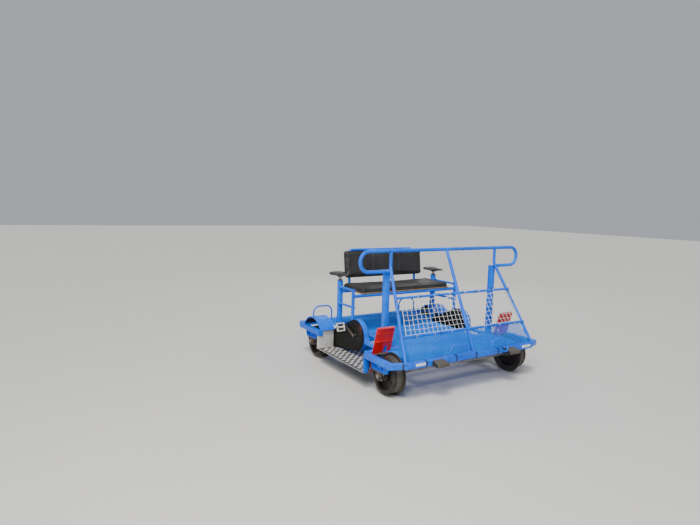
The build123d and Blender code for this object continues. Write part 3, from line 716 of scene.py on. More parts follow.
LABEL = label_material()
CRANK = metal("crank_steel", (0.10, 0.098, 0.095), (0.04, 0.038, 0.036), 0.42, rust=0.4, metal=0.8)
AXLE = metal("axle_steel", (0.42, 0.41, 0.39), (0.20, 0.19, 0.18), 0.45, rust=0.6, metal=0.8)
# inside of the rear wheel guards: near-black blue, a painted shade for the dark space under each guard, with some dust
# and rust
GUARD_INSIDE_SHADE = painted("guard_inside_painted_shade", (0.012, 0.018, 0.035), (0.02, 0.03, 0.06), (0.006, 0.006, 0.008), dust=0.25, rust=0.3, rough=0.7)
FLOOR_ALU = metal("floor_aluminium", (0.125, 0.123, 0.118), (0.055, 0.054, 0.050), 0.52, dust=0.10, rust=0.5,
                  rust_color=(0.10, 0.075, 0.05), metal=0.4)
BAR_ALU = metal("tread_bar_aluminium", (0.96, 0.96, 0.94), (0.72, 0.72, 0.70), 0.3, rust=0.0, metal=0.45, dust=0.0)
RED_DARK = painted("dark_red_paint", (0.12, 0.006, 0.008), (0.20, 0.012, 0.012), (0.06, 0.003, 0.004), dust=0.3, rust=0.7, rough=0.5,
                   dust_color=(0.42, 0.14, 0.13))
PIPING = plain_black("vinyl_piping", (0.016, 0.016, 0.017), 0.38)


def cream_material():
    """Pale moulded plastic, scuffed and soiled."""
    t = Tree("cream_plastic")
    fine, big = t.noise(130.0, 5, 0.65), t.noise(26.0, 4, 0.6)
    col = t.mix(t.ramp(big, [(0.35, 0.0), (0.7, 1.0)]), (0.62, 0.58, 0.48), (0.74, 0.71, 0.62))
    col = t.mix(t.math("MULTIPLY", t.ramp(fine, [(0.5, 0.0), (0.72, 1.0)]), 0.6), col, (0.22, 0.19, 0.15))
    rub = t.math("MULTIPLY", t.ramp(t.edges(0.0015), [(0.02, 0.0), (0.2, 1.0)]), 0.5)
    col = t.mix(rub, col, (0.30, 0.28, 0.25))
    return t.set(color=col, rough=t.math("ADD", 0.38, t.math("MULTIPLY", fine, 0.25), True), normal=t.bump(fine, 0.25, 0.0004))


CREAM = cream_material()


def flange_material():
    """Flange and rim: dark steel rubbed bright in rings, with grease and dust."""
    t = Tree("wheel_flange")
    rings = t.noise(180.0, 3, 0.6, src=t.coords((0.03, 1.0, 0.03)))
    fine, big = t.noise(80.0, 5, 0.65), t.noise(9.0, 4, 0.6)
    col = t.mix(t.ramp(rings, [(0.38, 0.0), (0.7, 1.0)]), (0.020, 0.018, 0.016), (0.055, 0.048, 0.040))
    col = t.mix(t.math("MULTIPLY", t.ramp(fine, [(0.45, 0.0), (0.75, 1.0)]), 0.5), col, (0.028, 0.025, 0.022))
    col = t.mix(t.math("MULTIPLY", t.ramp(big, [(0.5, 0.0), (0.72, 1.0)]), 0.4), col, (0.09, 0.075, 0.055))
    return t.set(color=col, rough=t.math("ADD", 0.40, t.math("MULTIPLY", fine, 0.3), True), metal=0.4,
                 normal=t.bump(t.math("ADD", rings, fine), 0.3, 0.0006))


WHEEL_FLANGE = flange_material()

SLOT_MATS = {"blue_paint": BLUE, "blue_mesh": BLUE_MESH, "aluminium": ALU, "dark_steel": DARK, "wheel_steel": WHEEL,
             "black_cover": BLACK, "red_paint": RED, "black_vinyl": VINYL, "plywood": PLY, "rubber": RUBBER,
             "net_rope": ROPE, "pedal_plastic": PLASTIC, "bare_steel": STEEL}
for sub in frame["record"]["subparts"]:
    ob = NODES[sub["node"]]
    ob.data.materials.clear()
    ob.data.materials.append(SLOT_MATS[sub["material_slot"]])

# ---------------------------------------------------------------- pieces: common parts
CH = "chassis"


def both(half):
    return [(H + x, y) for x, y in half] + [(H + x, -y) for x, y in reversed(half)]


def flat(points, r=0.0, seg=4):
    return [tuple(p) for p in rounded(points, r, seg)] if r else [tuple(p) for p in points]


def xy_plate(m, outline, z0, z1, **kw):
    plate(m, outline, (0, 0, (z0 + z1) / 2), thick=abs(z1 - z0), **kw)


def xz_plate(m, outline, y0, y1, **kw):
    plate(m, outline, (0, (y0 + y1) / 2, 0), (0, -1, 0), (1, 0, 0), thick=abs(y1 - y0), **kw)


def loop_x(m, x, y0, y1, z0, z1, r=2.4):
    bead(m, [(x, y0, z0), (x, y1, z0), (x, y1, z1), (x, y0, z1)], r)


def loop_y(m, y, x0, x1, z0, z1, r=2.4):
    bead(m, [(x0, y, z0), (x1, y, z0), (x1, y, z1), (x0, y, z1)], r)


def loop_z(m, z, x0, x1, y0, y1, r=2.6):
    bead(m, [(x0, y0, z), (x1, y0, z), (x1, y1, z), (x0, y1, z)], r)


def plane_ring(point, direction, r, normal=(0, 0, 1), n=24):
    """Where a tube of radius r along direction meets the plane through point."""
    d, nn, c = V(direction).normalized(), V(normal).normalized(), V(point)
    rot = frame_of(d)
    out = []
    for i in range(n):
        a = 2 * pi * i / n
        p = c + rot @ V((r * cos(a), r * sin(a), 0))
        out.append(p + d * ((c - p).dot(nn) / d.dot(nn)))
    return out


def ring_at(pos, axis, r, n=22):
    rot = frame_of(axis)
    return [V(pos) + rot @ V((r * cos(2 * pi * i / n), r * sin(2 * pi * i / n), 0)) for i in range(n)]


def turned(m, profile, pos, axis, mat=0, seg=40):
    v, f = lathe(profile, seg)
    m.add(v, f, mat, True, at(pos, axis))


def hull(grow=0.0, n=44):
    """Outline of the chain case in (x, z)."""
    rise = atan2(CASE_Z - TAIL_Z, CASE_X - TAIL_X)
    spread = math.asin((CASE_R - TAIL_R) / hypot(CASE_X - TAIL_X, CASE_Z - TAIL_Z))
    up, dn = rise + pi / 2 + spread, rise - pi / 2 - spread
    ra, rb = CASE_R + grow, TAIL_R + grow
    big = [dn + (up - dn) * i / n for i in range(n + 1)]
    small = [up + (dn + 2 * pi - up) * i / (n // 2) for i in range(n // 2 + 1)]
    return ([(CASE_X + ra * cos(a), CASE_Z + ra * sin(a)) for a in big]
            + [(TAIL_X + rb * cos(a), TAIL_Z + rb * sin(a)) for a in small])


def ring2(x, z, r, n=28):
    return [(x + r * cos(2 * pi * i / n), z + r * sin(2 * pi * i / n)) for i in range(n)]


# ---------------------------------------------------------------- pieces: frame
m = Mesh()
BUMPER = [(427, 740), (404, 769), (370, 875), (320, 875), (320, 825), (338, 825), (357, 762), (377, 735)]
xy_plate(m, flat(both(BUMPER), 9), LOW, TOP, bevel=4.0, res=2)
for s in (-1, 1):
    loop_x(m, H + 320, s * 826, s * 874, LOW + 1, TOP - 1)
    for ya, yb in ((441, 484), (613, 659)):
        bead(m, [(H + 377, s * ya, LOW), (H + 377, s * ya, IN_TOP), (H + 377, s * yb, IN_TOP), (H + 377, s * yb, LOW)],
             2.6, closed=False)
# mitre seams of the swept ends
for s in (-1, 1):
    for a, b in (((427, 740), (377, 735)), ((404, 769), (357, 762))):
        bead(m, [(H + a[0] - 4, s * a[1], TOP - 0.6), (H + b[0] + 4, s * b[1], TOP - 0.6)], 1.8, closed=False)
m.to("front_bumper_bar", CH, [BLUE], "front_bumper")

m = Mesh()
REAR = [(-1330, 844), (-1250, 875), (-1200, 875), (-1200, 825), (-1240, 825), (-1280, 806)]
xy_plate(m, flat(both(REAR), 9), LOW, TOP, bevel=4.0, res=2)
for s in (-1, 1):
    loop_x(m, H - 1200, s * 826, s * 874, LOW + 1, TOP - 1)
    bead(m, [(H - 1280, s * 441, LOW), (H - 1280, s * 441, IN_TOP), (H - 1280, s * 484, IN_TOP), (H - 1280, s * 484, LOW)],
         2.6, closed=False)
m.to("rear_beam_bar", CH, [BLUE], "rear_beam")

m = Mesh()
for s in (-1, 1):
    for x0, x1 in ((0, 320), (-1200, -830)):
        box(m, H + x0, H + x1, s * 825, s * 875, LOW, TOP, 4.0, seg=3)
    loop_x(m, H + 1, s * 826, s * 874, LOW + 1, TOP - 1)
    loop_x(m, H - 830, s * 826, s * 874, LOW + 1, TOP - 1)
    # ring round the bore of the brake shaft
    turned(m, [(8.4, 0), (15, 0), (16, 1), (16, 2.6), (15, 3.4), (8.4, 3.4)], (H + 36, s * 825, RT + 296), (0, -s, 0))
m.to("side_rail_bars", CH, [BLUE], "side_rails")

m = Mesh()
for s in (-1, 1):
    box(m, H - 1280, H + 377, s * 440, s * 485, LOW, IN_TOP, 4.0, seg=3)
m.to("inner_beam_bars", CH, [BLUE], "inner_beams")

m = Mesh()
for x0, x1, y0, y1 in ((150, 195, 0, 440), (-70, -12, 0, 440), (-480, -435, 0, 440), (-900, -857, 0, 440),
                       (-900, -857, 485, 610), (-900, -857, 690, 825)):
    if y0 == 0:
        box(m, H + x0, H + x1, -y1, y1, LOW, IN_TOP, 4.0, seg=3)
    for s in (-1, 1):
        if y0:
            box(m, H + x0, H + x1, s * y0, s * y1, LOW, IN_TOP, 4.0, seg=3)
            loop_y(m, s * y0, H + x0 + 1, H + x1 - 1, LOW + 1, IN_TOP - 1)
        loop_y(m, s * y1, H + x0 + 1, H + x1 - 1, LOW + 1, IN_TOP - 1)
m.to("cross_member_bars", CH, [BLUE], "cross_members")

m = Mesh()
for s in (-1, 1):
    box(m, H - 70, H - 12, s * 485, s * 825, LOW, IN_TOP, 4.0, seg=3)
    box(m, H - 12, H + 377, s * 612, s * 660, LOW, IN_TOP, 4.0, seg=3)
    loop_x(m, H - 12, s * 613, s * 659, LOW + 1, IN_TOP - 1)
    loop_y(m, s * 486, H - 69, H - 13, LOW + 1, IN_TOP - 1)
    turned(m, [(8.4, 0), (14, 0), (15, 1), (15, 2.6), (14, 3.4), (8.4, 3.4)], (H + 36, s * 660, RT + 296), (0, s, 0))
m.to("wheel_bay_bars", CH, [BLUE], "wheel_bay_beams")

m = Mesh()
DECK = [(377, 660), (-12, 660), (-12, 485), (-857, 485), (-857, 610), (-1280, 610)]
expanded(m, both(DECK), 43.0, 20.0, 4.6, 2.6, Matrix.Translation((0, 0, (IN_TOP + TOP) / 2)), tilt=0.55)
m.to("deck_expanded_metal", CH, [BLUE_MESH], "deck_mesh", angle=None)

# ---------------------------------------------------------------- pieces: foot wells
FLOOR = [(0, 875), (0, 828), (-70, 828), (-70, 485), (-853, 485), (-853, 610), (-720, 610),
         (-720, 690), (-853, 690), (-853, 875)]


def tread_bar(m, x, y, along_x):
    w, l, h = 2.7, 15.0, 1.6
    base = [(-l, 0), (-l * 0.55, -w), (l * 0.55, -w), (l, 0), (l * 0.55, w), (-l * 0.55, w)]
    top = [(px * 0.78, py * 0.5) for px, py in base]
    pts = [(px, py, WELL_Z - 0.1) for px, py in base] + [(px, py, WELL_Z + h) for px, py in top]
    if not along_x:
        pts = [(-py, px, pz) for px, py, pz in pts]
    m.add([(px + x, py + y, pz) for px, py, pz in pts], ring_faces(0, 6, 6) + [tuple(range(6, 12))], 1, False)


m = Mesh()
for s in (-1, 1):
    outline = [(H + x, s * y) for x, y in FLOOR]
    xy_plate(m, outline, WELL_Z - 4, WELL_Z, bevel=0.8)
    box(m, H - 857, H - 853, s * 690, s * 875, WELL_Z - 4, LOW, 0.8, mat=2)
    box(m, H - 857, H - 853, s * 690, s * 825, LOW, TOP, 0.8, mat=2)
    # bend at the foot of the end wall, and a hemmed outer edge
    bead(m, [(H - 851.5, s * 691, WELL_Z + 1.2), (H - 851.5, s * 874, WELL_Z + 1.2)], 3.0, 1, closed=False, wobble=0.0)
    bead(m, [(H - 852, s * 873.4, WELL_Z + 0.6), (H - 2, s * 873.4, WELL_Z + 0.6)], 1.7, 1, closed=False, wobble=0.0)
    bead(m, [(H - 853.5, s * 873.4, WELL_Z), (H - 853.5, s * 873.4, LOW - 2)], 1.7, 1, closed=False, wobble=0.0)
    inner = [(H + x, s * y) for x, y in [(-5, 870), (-5, 833), (-76, 833), (-76, 492), (-846, 492), (-846, 606),
                                         (-714, 606), (-714, 694), (-846, 694), (-846, 868)]]
    for i in range(-8, 8):
        for j in range(6, 14):
            for half, along in ((0.0, True), (0.5, False)):
                cx, cy = H - 420 + (i + half) * 69.0, s * (j + half) * 69.0
                for k in range(-2, 3):
                    bx, by = (cx, cy + k * 6.7) if along else (cx + k * 6.7, cy)
                    dx, dy = (16, 0) if along else (0, 16)
                    if inside(inner, bx - dx, by - dy) and inside(inner, bx + dx, by + dy):
                        tread_bar(m, bx, by, along)
    for bx in (-835, -560, -300, -95):
        turned(m, [(0, 1.6), (3.6, 1.6), (5.6, 0.9), (6.2, 0)], (H + bx, s * 500, WELL_Z), (0, 0, 1), seg=14)
m.to("checker_plate_floors", CH, [FLOOR_ALU, BAR_ALU, ALU], "step_floors")

m = Mesh()
for s in (-1, 1):
    box(m, H - 5, H, s * 828, s * HALF_W, WELL_Z, TOP, 1.2)
    box(m, H - 75, H - 5, s * 828, s * 832, WELL_Z, LOW, 1.2)
    box(m, H - 75, H - 70, s * 485, s * 825, WELL_Z, IN_TOP, 1.2)
    box(m, H - 75, H - 70, s * 824, s * 832, WELL_Z, LOW, 1.2)
    box(m, H - 853, H - 75, s * 485, s * 489, WELL_Z, IN_TOP, 1.2)
    box(m, H - 857, H - 853, s * 485, s * 610, WELL_Z - 4, IN_TOP, 1.2)
    bead(m, [(H - 75, s * 490, WELL_Z + 1), (H - 75, s * 826, WELL_Z + 1)], 2.4, closed=False)
    bead(m, [(H - 3, s * 874, WELL_Z + 2), (H - 3, s * 874, LOW)], 2.0, closed=False)
    bead(m, [(H - 74, s * 831, WELL_Z + 2), (H - 74, s * 831, LOW - 2)], 2.0, closed=False)
m.to("foot_well_walls", CH, [BLUE], "step_walls")

# ---------------------------------------------------------------- pieces: front structure
m = Mesh()
for s in (-1, 1):
    box(m, H - 64, H - STRUT_R, s * 615, s * 665, IN_TOP, RT + 1000, 6.0, seg=3)
    box(m, H - 63, H - STRUT_R - 1, s * 616, s * 664, RT + 997, RT + 1002.5, 2.0)
    loop_z(m, TOP + 1, H - 63.5, H - STRUT_R - 0.5, s * 615.5, s * 664.5)
    # stitch welds between the post and the strut in front of it
    for z in (RT + 420, RT + 640, RT + 860, RT + 985):
        bead(m, [(H - STRUT_R + 0.5, s * (STRUT_Y + 10), z - 12), (H - STRUT_R + 0.5, s * (STRUT_Y + 10), z + 12)], 3.0,
             closed=False)
m.to("front_post_tubes", CH, [BLUE], "front_posts")

m = Mesh()
LOOP_END = 646.5
tube(m, [(H, -LOOP_END, LOOP_Z), (H, -LOOP_Y, LOOP_Z), (H, -LOOP_Y, BAR_Z), (H, LOOP_Y, BAR_Z), (H, LOOP_Y, LOOP_Z),
         (H, LOOP_END, LOOP_Z)], BAR_R, 87.9, 28, arc=12)
for s in (-1, 1):
    tee(m, (H, s * STRUT_Y, BAR_Z - 34), (0, 0, 1), STRUT_R, (H, s * STRUT_Y, BAR_Z), (0, 1, 0), BAR_R)
    bead(m, ring_at((H, s * (LOOP_END + 1), LOOP_Z), (0, 1, 0), BAR_R - 0.4), 2.6)
    # butt seam where the loop was joined to the bar
    bead(m, ring_at((H, s * 850, BAR_Z), (0, 1, 0), BAR_R - 0.9), 1.6)
tee(m, (H + 30, 0, BAR_Z - 63), (-420, 0, 884), STRUT_R, (H, 0, BAR_Z), (0, 1, 0), BAR_R)
m.to("handlebar_and_loops", CH, [BLUE], ("handlebar", "grip_loops"))


def strut_line(s):
    """Bend and foot of an outer strut."""
    a, b = V((H, s * STRUT_Y, STRUT_BEND)), V((FOOT_X + 12, s * (FOOT_Y + 3), RT + 297))
    return a, b, a.lerp(b, (STRUT_BEND - TOP) / (STRUT_BEND - RT - 297))


def strut_at(s, z):
    a, b, _ = strut_line(s)
    return a.lerp(b, (STRUT_BEND - z) / (STRUT_BEND - RT - 297))


CENTRE_TOP, CENTRE_FOOT = V((H, 0, BAR_Z)), V((FOOT_X + 10, 0, RT + 297))


def centre_at(z):
    return CENTRE_TOP.lerp(CENTRE_FOOT, (BAR_Z - z) / (BAR_Z - RT - 297))


m = Mesh()
for s in (-1, 1):
    a, b, foot = strut_line(s)
    tube(m, [(H, s * STRUT_Y, BAR_Z - 10), a, foot - V((0, 0, 2))], STRUT_R, 70, 24)
    bead(m, plane_ring(foot, b - a, STRUT_R + 0.3), 3.0)
tube(m, [CENTRE_TOP + V((5, 0, -10)), centre_at(TOP - 2)], STRUT_R, 0, 24)
bead(m, plane_ring(centre_at(TOP), CENTRE_FOOT - CENTRE_TOP, STRUT_R + 0.3), 3.0)
m.to("front_strut_tubes", CH, [BLUE], "front_struts")

m = Mesh()
for bx, bz, by in ((UP_X, UP_Z, 668.0), (LO_X, LO_Z, 718.0)):
    tube(m, [(bx, -by + 2, bz), (bx, by - 2, bz)], CROSS_R, 0, 20)
    for s in (-1, 1):
        p = strut_at(s, bz)
        side = V((bx, 0, bz)) - V((p.x, 0, p.z))
        bead(m, ring_at((bx, s * (abs(p.y) - STRUT_R + 1.5), bz), (0, 1, 0), CROSS_R), 2.6)
        bead(m, ring_at((bx, s * (STRUT_R - 1.0), bz), (0, 1, 0), CROSS_R), 2.4)
m.to("net_bar_tubes", CH, [BLUE], "net_bars")

PANEL_LEN = hypot(H + 402 - LO_X, LO_Z - TOP)
PANEL_DOWN = V((H + 402 - LO_X, 0, TOP - LO_Z)) / PANEL_LEN
PANEL_OUT = PANEL_DOWN.cross(V((0, 1, 0)))
m = Mesh()
y_at = lambda d: 694.0 + 28.0 * d / PANEL_LEN
panel = [(8, -y_at(8) + 10), (PANEL_LEN - 2, -y_at(PANEL_LEN) + 10), (PANEL_LEN - 2, -16), (8, -16)]
for flip in (1, -1):
    expanded(m, [(x, y * flip) for x, y in panel], 40.0, 20.0, 4.2, 2.4,
             at((LO_X, 0, LO_Z), PANEL_OUT, PANEL_DOWN), tilt=0.55)
# edge strips that hold the sheet along the struts and the bumper
for flip in (1, -1):
    rim = lambda d, inset: V((LO_X, 0, LO_Z)) + PANEL_DOWN * d + V((0, flip * (y_at(d) - inset), 0))
    tube(m, [rim(6, 12), rim(PANEL_LEN - 3, 12)], 2.2, 0, 8)
    tube(m, [V((LO_X, 0, LO_Z)) + PANEL_DOWN * (PANEL_LEN - 3) + V((0, flip * 14, 0)), rim(PANEL_LEN - 3, 12)], 2.2, 0, 8)
    tube(m, [V((LO_X, 0, LO_Z)) + PANEL_DOWN * 10 + V((0, flip * 14, 0)), rim(10, 12)], 2.2, 0, 8)
m.to("front_panel_expanded_metal", CH, [BLUE_MESH], "front_mesh_panel", angle=40)

# ---------------------------------------------------------------- pieces: net
NET_LEN = hypot(LO_X - UP_X, UP_Z - LO_Z)
NET_DOWN = V((LO_X - UP_X, 0, LO_Z - UP_Z)) / NET_LEN
NET_OUT = NET_DOWN.cross(V((0, 1, 0)))


def net_point(d, y, sag=0.0):
    back = -17.0 * math.exp(-(y / 46.0) ** 2)
    slack = -5.0 * sin(pi * d / NET_LEN) * (0.6 + 0.4 * sin(y / 130.0 + 1.0))
    return V((UP_X, 0, UP_Z)) + NET_DOWN * (d + sag) + V((0, y, 0)) + NET_OUT * (back + slack)


ROWS, COLS = 7, 28
D0, D1 = 24.0, NET_LEN - 13.0


def net_half(d):
    return 640.0 + 52.0 * d / NET_LEN


def net_node(i, j):
    """Knot in row i, column j. The mesh hangs a little uneven."""
    d = D0 + (D1 - D0) * i / ROWS
    w = net_half(d) - 12
    jit = 0 if i in (0, ROWS) or j in (0, COLS) else 1
    dy = jit * 5.0 * noise.noise((i * 1.7, j * 1.3, 2.0))
    dd = jit * 6.0 * noise.noise((i * 1.1, j * 1.9, 7.0))
    y = -w + 2 * w * j / COLS + dy
    top = 8.0 * abs(sin(pi * j / 4.0)) * (1 - i / ROWS)
    return d + dd + top, y


m = Mesh()
knot_v, knot_f = lathe([(0, -3.0), (2.1, -2.4), (3.1, 0), (2.1, 2.4), (0, 3.0)], 8)
for i in range(ROWS + 1):
    pts = []
    for j in range(COLS + 1):
        d, y = net_node(i, j)
        pts.append(net_point(d, y))
        if j < COLS:
            d2, y2 = net_node(i, j + 1)
            for t in (1 / 3, 2 / 3):
                pts.append(net_point(d + (d2 - d) * t, y + (y2 - y) * t, 2.6))
    v, f = sweep(pts, circle(3.0 if i in (0, ROWS) else 1.55, 6))
    m.add(v, f)
for j in range(COLS + 1):
    pts = []
    for i in range(ROWS + 1):
        d, y = net_node(i, j)
        pts.append(net_point(d, y))
        if i < ROWS:
            d2, y2 = net_node(i + 1, j)
            wav = 1.6 * (1 if (i + j) % 2 else -1)
            pts.append(net_point((d + d2) / 2, (y + y2) / 2 + wav))
    v, f = sweep(pts, circle(2.6 if j in (0, COLS) else 1.55, 6), up=(1, 0, 0))
    m.add(v, f)
for i in range(ROWS + 1):
    for j in range(COLS + 1):
        d, y = net_node(i, j)
        tilt = Matrix.Rotation(R.uniform(-0.6, 0.6), 4, NET_OUT)
        m.add(knot_v, knot_f, 0, True, Matrix.Translation(net_point(d, y)) @ tilt @ frame_of((0, 1, 0)).to_4x4())
# lacing: loops round the bars that carry the border ropes
for bar, row, step in (((UP_X, UP_Z), 0, 4), ((LO_X, LO_Z), ROWS, 4)):
    for j in range(2 if row else 4, COLS, step):
        d, y = net_node(row, j)
        if abs(y) < 30:
            continue
        p, c = net_point(d, y), V((bar[0], y, bar[1]))
        rad = (p - c).normalized()
        loop = [c + (Matrix.Rotation(a, 3, "Y") @ rad) * (CROSS_R + 2.0) for a in (0.7, 1.4, 2.2, 3.14, 4.1, 4.9, 5.6)]
        loop.append(p + rad * 3.0)
        v, f = sweep([q + V((0, 3.5 * sin(k), 0)) for k, q in enumerate(loop)], circle(1.7, 6), closed=True,
                     up=(0, 1, 0))
        m.add(v, f)
m.to("rope_net", CH, [ROPE], "front_net", angle=60)

# ---------------------------------------------------------------- pieces: bumper fittings
def band(m, outline, y, width, lift=1.3, mat=0):
    """A strap round a bar whose section in (x, z) is outline's box, lying at y."""
    (x0, x1), (z0, z1) = outline
    ring = lambda g, r: flat([(x0 - g, z0 - g), (x1 + g, z0 - g), (x1 + g, z1 + g), (x0 - g, z1 + g)], r, 4)
    xz_plate(m, ring(lift, 4.5), y - width / 2, y + width / 2, holes=[ring(-0.3, 3.0)], bevel=0.35, mat=mat)


m = Mesh()
for y, w in ((290, 13), (-211, 13), (352, 15), (-538, 15)):
    band(m, ((H + 377.5, H + 427), (LOW, TOP)), y, w)
    if w == 13:
        box(m, H + 404, H + 420, y - 5, y + 5, TOP + 1, TOP + 6.5, 1.0)
        box(m, H + 378, H + 404, y - 3, y + 3, TOP + 1, TOP + 2.6, 0.5)
# tape wound twice round the foot of the middle strut and over the bumper
band(m, ((H + 377.5, H + 427), (LOW, TOP)), 22, 15)
# wide black straps round the swept ends, square to the bar; they also paint in the dark shadow band that falls from
# each strut foot down the bumper
for s in (-1, 1):
    part = Mesh()
    band(part, ((-20.8, 20.8), (LOW, TOP)), 0, 13)
    m.add(np.concatenate(part.v), part.f, 0, True, Matrix.Translation((H + 391.6, s * 751, 0)) @ Matrix.Rotation(s * radians(38.4), 4, "Z"))
m.to("bumper_straps", CH, [PLASTIC], ())

m = Mesh()
for s in (-1, 1):
    y0, y1 = (551, 652) if s < 0 else (600, 714)
    box(m, H + 427, H + 427.9, s * y0, s * y1, LOW + 17, TOP - 8, 0.3)
m.to("bumper_reflective_strips", CH, [LABEL])

m = Mesh()
for s in (-1, 1):
    for pos, axis, r in (((UP_X, s * 430, UP_Z), (0, 1, 0), CROSS_R + 0.2), ((UP_X, s * 215, UP_Z), (0, 1, 0), CROSS_R + 0.2),
                         ((UP_X, s * 60, UP_Z), (0, 1, 0), CROSS_R + 0.2), ((LO_X, s * 590, LO_Z), (0, 1, 0), CROSS_R + 0.2),
                         ((LO_X, s * 320, LO_Z), (0, 1, 0), CROSS_R + 0.2),
                         (tuple(strut_at(s, 700)), tuple(strut_line(s)[1] - strut_line(s)[0]), STRUT_R + 0.2),
                         (tuple(strut_at(s, 790)), tuple(strut_line(s)[1] - strut_line(s)[0]), STRUT_R + 0.2)):
        turned(m, [(r, -2.3), (r + 1.4, -2.3), (r + 1.4, 2.3), (r, 2.3), (r, -2.3)], pos, axis, seg=24)
        t = at(pos, axis)
        box_m = Mesh()
        box(box_m, r, r + 5.5, -3.4, 3.4, -3.2, 3.2, 0.8)
        box(box_m, r + 1.5, r + 21, -1.9, 1.9, -0.7, 0.7, 0.3)
        m.add(np.concatenate(box_m.v), box_m.f, 0, True, t @ Matrix.Rotation(R.uniform(0, 6.2), 4, "Z"))
m.to("cable_ties", CH, [PLASTIC], ())


def wedge(m, corners, bevel=4.0, seg=3, mat=0):
    """A convex block from its eight corners, with rounded edges."""
    bm = bmesh.new()
    for c in corners:
        bm.verts.new(c)
    bmesh.ops.convex_hull(bm, input=bm.verts)
    bmesh.ops.dissolve_limit(bm, angle_limit=0.02, verts=bm.verts, edges=bm.edges)
    bmesh.ops.bevel(bm, geom=list(bm.edges), offset=bevel, segments=seg, profile=0.5, affect="EDGES")
    bm.verts.index_update()
    m.add([v.co[:] for v in bm.verts], [tuple(v.index for v in f.verts) for f in bm.faces], mat)
    bm.free()


m = Mesh()
for s in (-1, 1):
    x0, x1 = H + 433, H + 506
    wedge(m, [(x0, s * 366, LOW), (x1, s * 357, LOW), (x1, s * 489, LOW), (x0, s * 480, LOW),
              (x0, s * 366, TOP - 1), (x1, s * 357, LOW + 30), (x1, s * 489, LOW + 30), (x0, s * 480, TOP - 1)], 5.0)
    box(m, H + 427, H + 433.5, s * 364, s * 482, LOW + 1, TOP - 1, 1.2, mat=1)
    for y in (393, 453):
        turned(m, [(9.5, 1.0), (9.5, 0.2), (8.2, 0.2), (8.0, -0.4), (0, -0.5)], (x1 - 0.9, s * y, LOW + 15), (1, 0, 0), 1, 20)
    # moulded grooves across the face
    for z in (LOW + 8.5, LOW + 22):
        bead(m, [(x1 - 0.6, s * 365, z), (x1 - 0.6, s * 481, z)], 1.2, closed=False, wobble=0.0)
m.to("rubber_buffers", CH, [RUBBER, DARK], "buffers")

m = Mesh()
for s in (-1, 1):
    ya, yb, zf, zt = s * 134, s * 346, RT + 290, RT + 424
    tube(m, [(H + 426, ya, zf), (H + 478, ya, zf), (H + 478, ya, zt), (H + 478, yb, zt), (H + 478, yb, zf),
             (H + 426, yb, zf)], 8.0, [0, 26, 90, 90, 26, 0], 16, arc=10)
    for y in (ya, yb):
        bead(m, ring_at((H + 427.6, y, zf), (1, 0, 0), 8.4), 2.4)
m.to("front_lifting_handles", CH, [BLUE], "front_handles")

m = Mesh()
for s in (-1, 1):
    ya, yb, zt = s * 463, s * 687, RT + 458
    tube(m, [(H - 1305, ya, TOP - 2), (H - 1305, ya, zt), (H - 1305, yb, zt), (H - 1305, yb, TOP - 2)], 8.0, 111.5, 16, arc=14)
    for y in (ya, yb):
        bead(m, ring_at((H - 1305, y, TOP + 0.8), (0, 0, 1), 8.4), 2.6)
m.to("rear_lifting_handles", CH, [BLUE], "rear_handles")

# ---------------------------------------------------------------- pieces: axle carriers
m = Mesh()
for ax in (FRONT_X, REAR_X):
    for s in (-1, 1):
        web = [(ax - 98, LOW), (ax + 122, LOW), (ax + 110, RT + 203), (ax - 88, RT + 203)]
        xz_plate(m, web, s * 829, s * 835, bevel=0.8)
        box(m, ax - 98, ax + 122, s * 815, s * 849, LOW - 6, LOW, 1.2)
        box(m, ax - 89, ax + 111, s * 815, s * 849, RT + 203, RT + 209, 1.4)
        for e in (-1, 1):
            wedge(m, [(ax + e * (122 if z > 260 else 111) - e * t + (24 if e < 0 else 0), s * y, z) for z in (RT + 205, LOW - 1) for y in (816, 848)
                      for t in (0, 6)], 1.0, 2)
        for e in (-45, 45):
            wedge(m, [(ax + e + t, s * y, z) for z in (RT + 206, LOW - 2) for y in (834, 847) for t in (-2.5, 2.5)], 0.8, 1)
        bead(m, [(ax - 97, s * 848.5, LOW - 1.5), (ax + 121, s * 848.5, LOW - 1.5)], 2.6, closed=False)
        bead(m, [(ax - 84, s * 836.5, RT + 210.5), (ax + 108, s * 836.5, RT + 210.5)], 2.2, closed=False)
m.to("bearing_bracket_channels", CH, [BLUE], "bearing_brackets")

m = Mesh()
for ax in (FRONT_X, REAR_X):
    for s in (-1, 1):
        # pillow block with feet, round housing with an insert, grease nipple
        foot = flat([(ax - 80, RT + 203), (ax + 80, RT + 203), (ax + 80, RT + 189), (ax + 48, RT + 185), (ax - 48, RT + 185),
                     (ax - 80, RT + 189)], 4, 3)
        xz_plate(m, foot, s * 813, s * 845, bevel=2.0, res=2)
        turned(m, [(22, 0), (31, 0), (36.5, 2.5), (38, 6), (38, 28), (36.5, 31.5), (31, 34), (22, 34)],
               (ax, s * 829 - s * 17, AXLE_Z), (0, s, 0), seg=48)
        turned(m, [(22, 31.0), (28.5, 31.0), (28.5, 33.2), (25.5, 33.2), (25.5, 35.5), (17.5, 37.0), (15.4, 37.0), (15.4, 30)],
               (ax, s * 829 - s * 17, AXLE_Z), (0, s, 0), 0, 36)
        turned(m, [(22, 3.0), (28.5, 3.0), (28.5, 0.8), (22, 0.8), (15.4, 0.8), (15.4, 4)],
               (ax, s * 829 - s * 17, AXLE_Z), (0, s, 0), 1, 36)
        for e in (-62, 62):
            bolt(m, (ax + e, s * 829, RT + 189.5), (0, 0, -1), 13, 1, stud=0)
            bolt(m, (ax + e, s * 843.0 - s * 14, RT + 209), (0, 0, 1), 13, 1, stud=4)
        v, f = lathe([(0, 12), (1.6, 12), (3.0, 10.5), (3.0, 8.5), (1.9, 7.5), (1.9, 6), (4.2, 5.5), (4.2, 0)], 12)
        m.add(v, f, 1, True, at((ax + 36 * cos(-0.7), s * 829, AXLE_Z + 36 * sin(-0.7)), (cos(-0.7), 0, sin(-0.7))))
m.to("axle_pillow_blocks", CH, [DARK, ZINC], "axle_bearings")

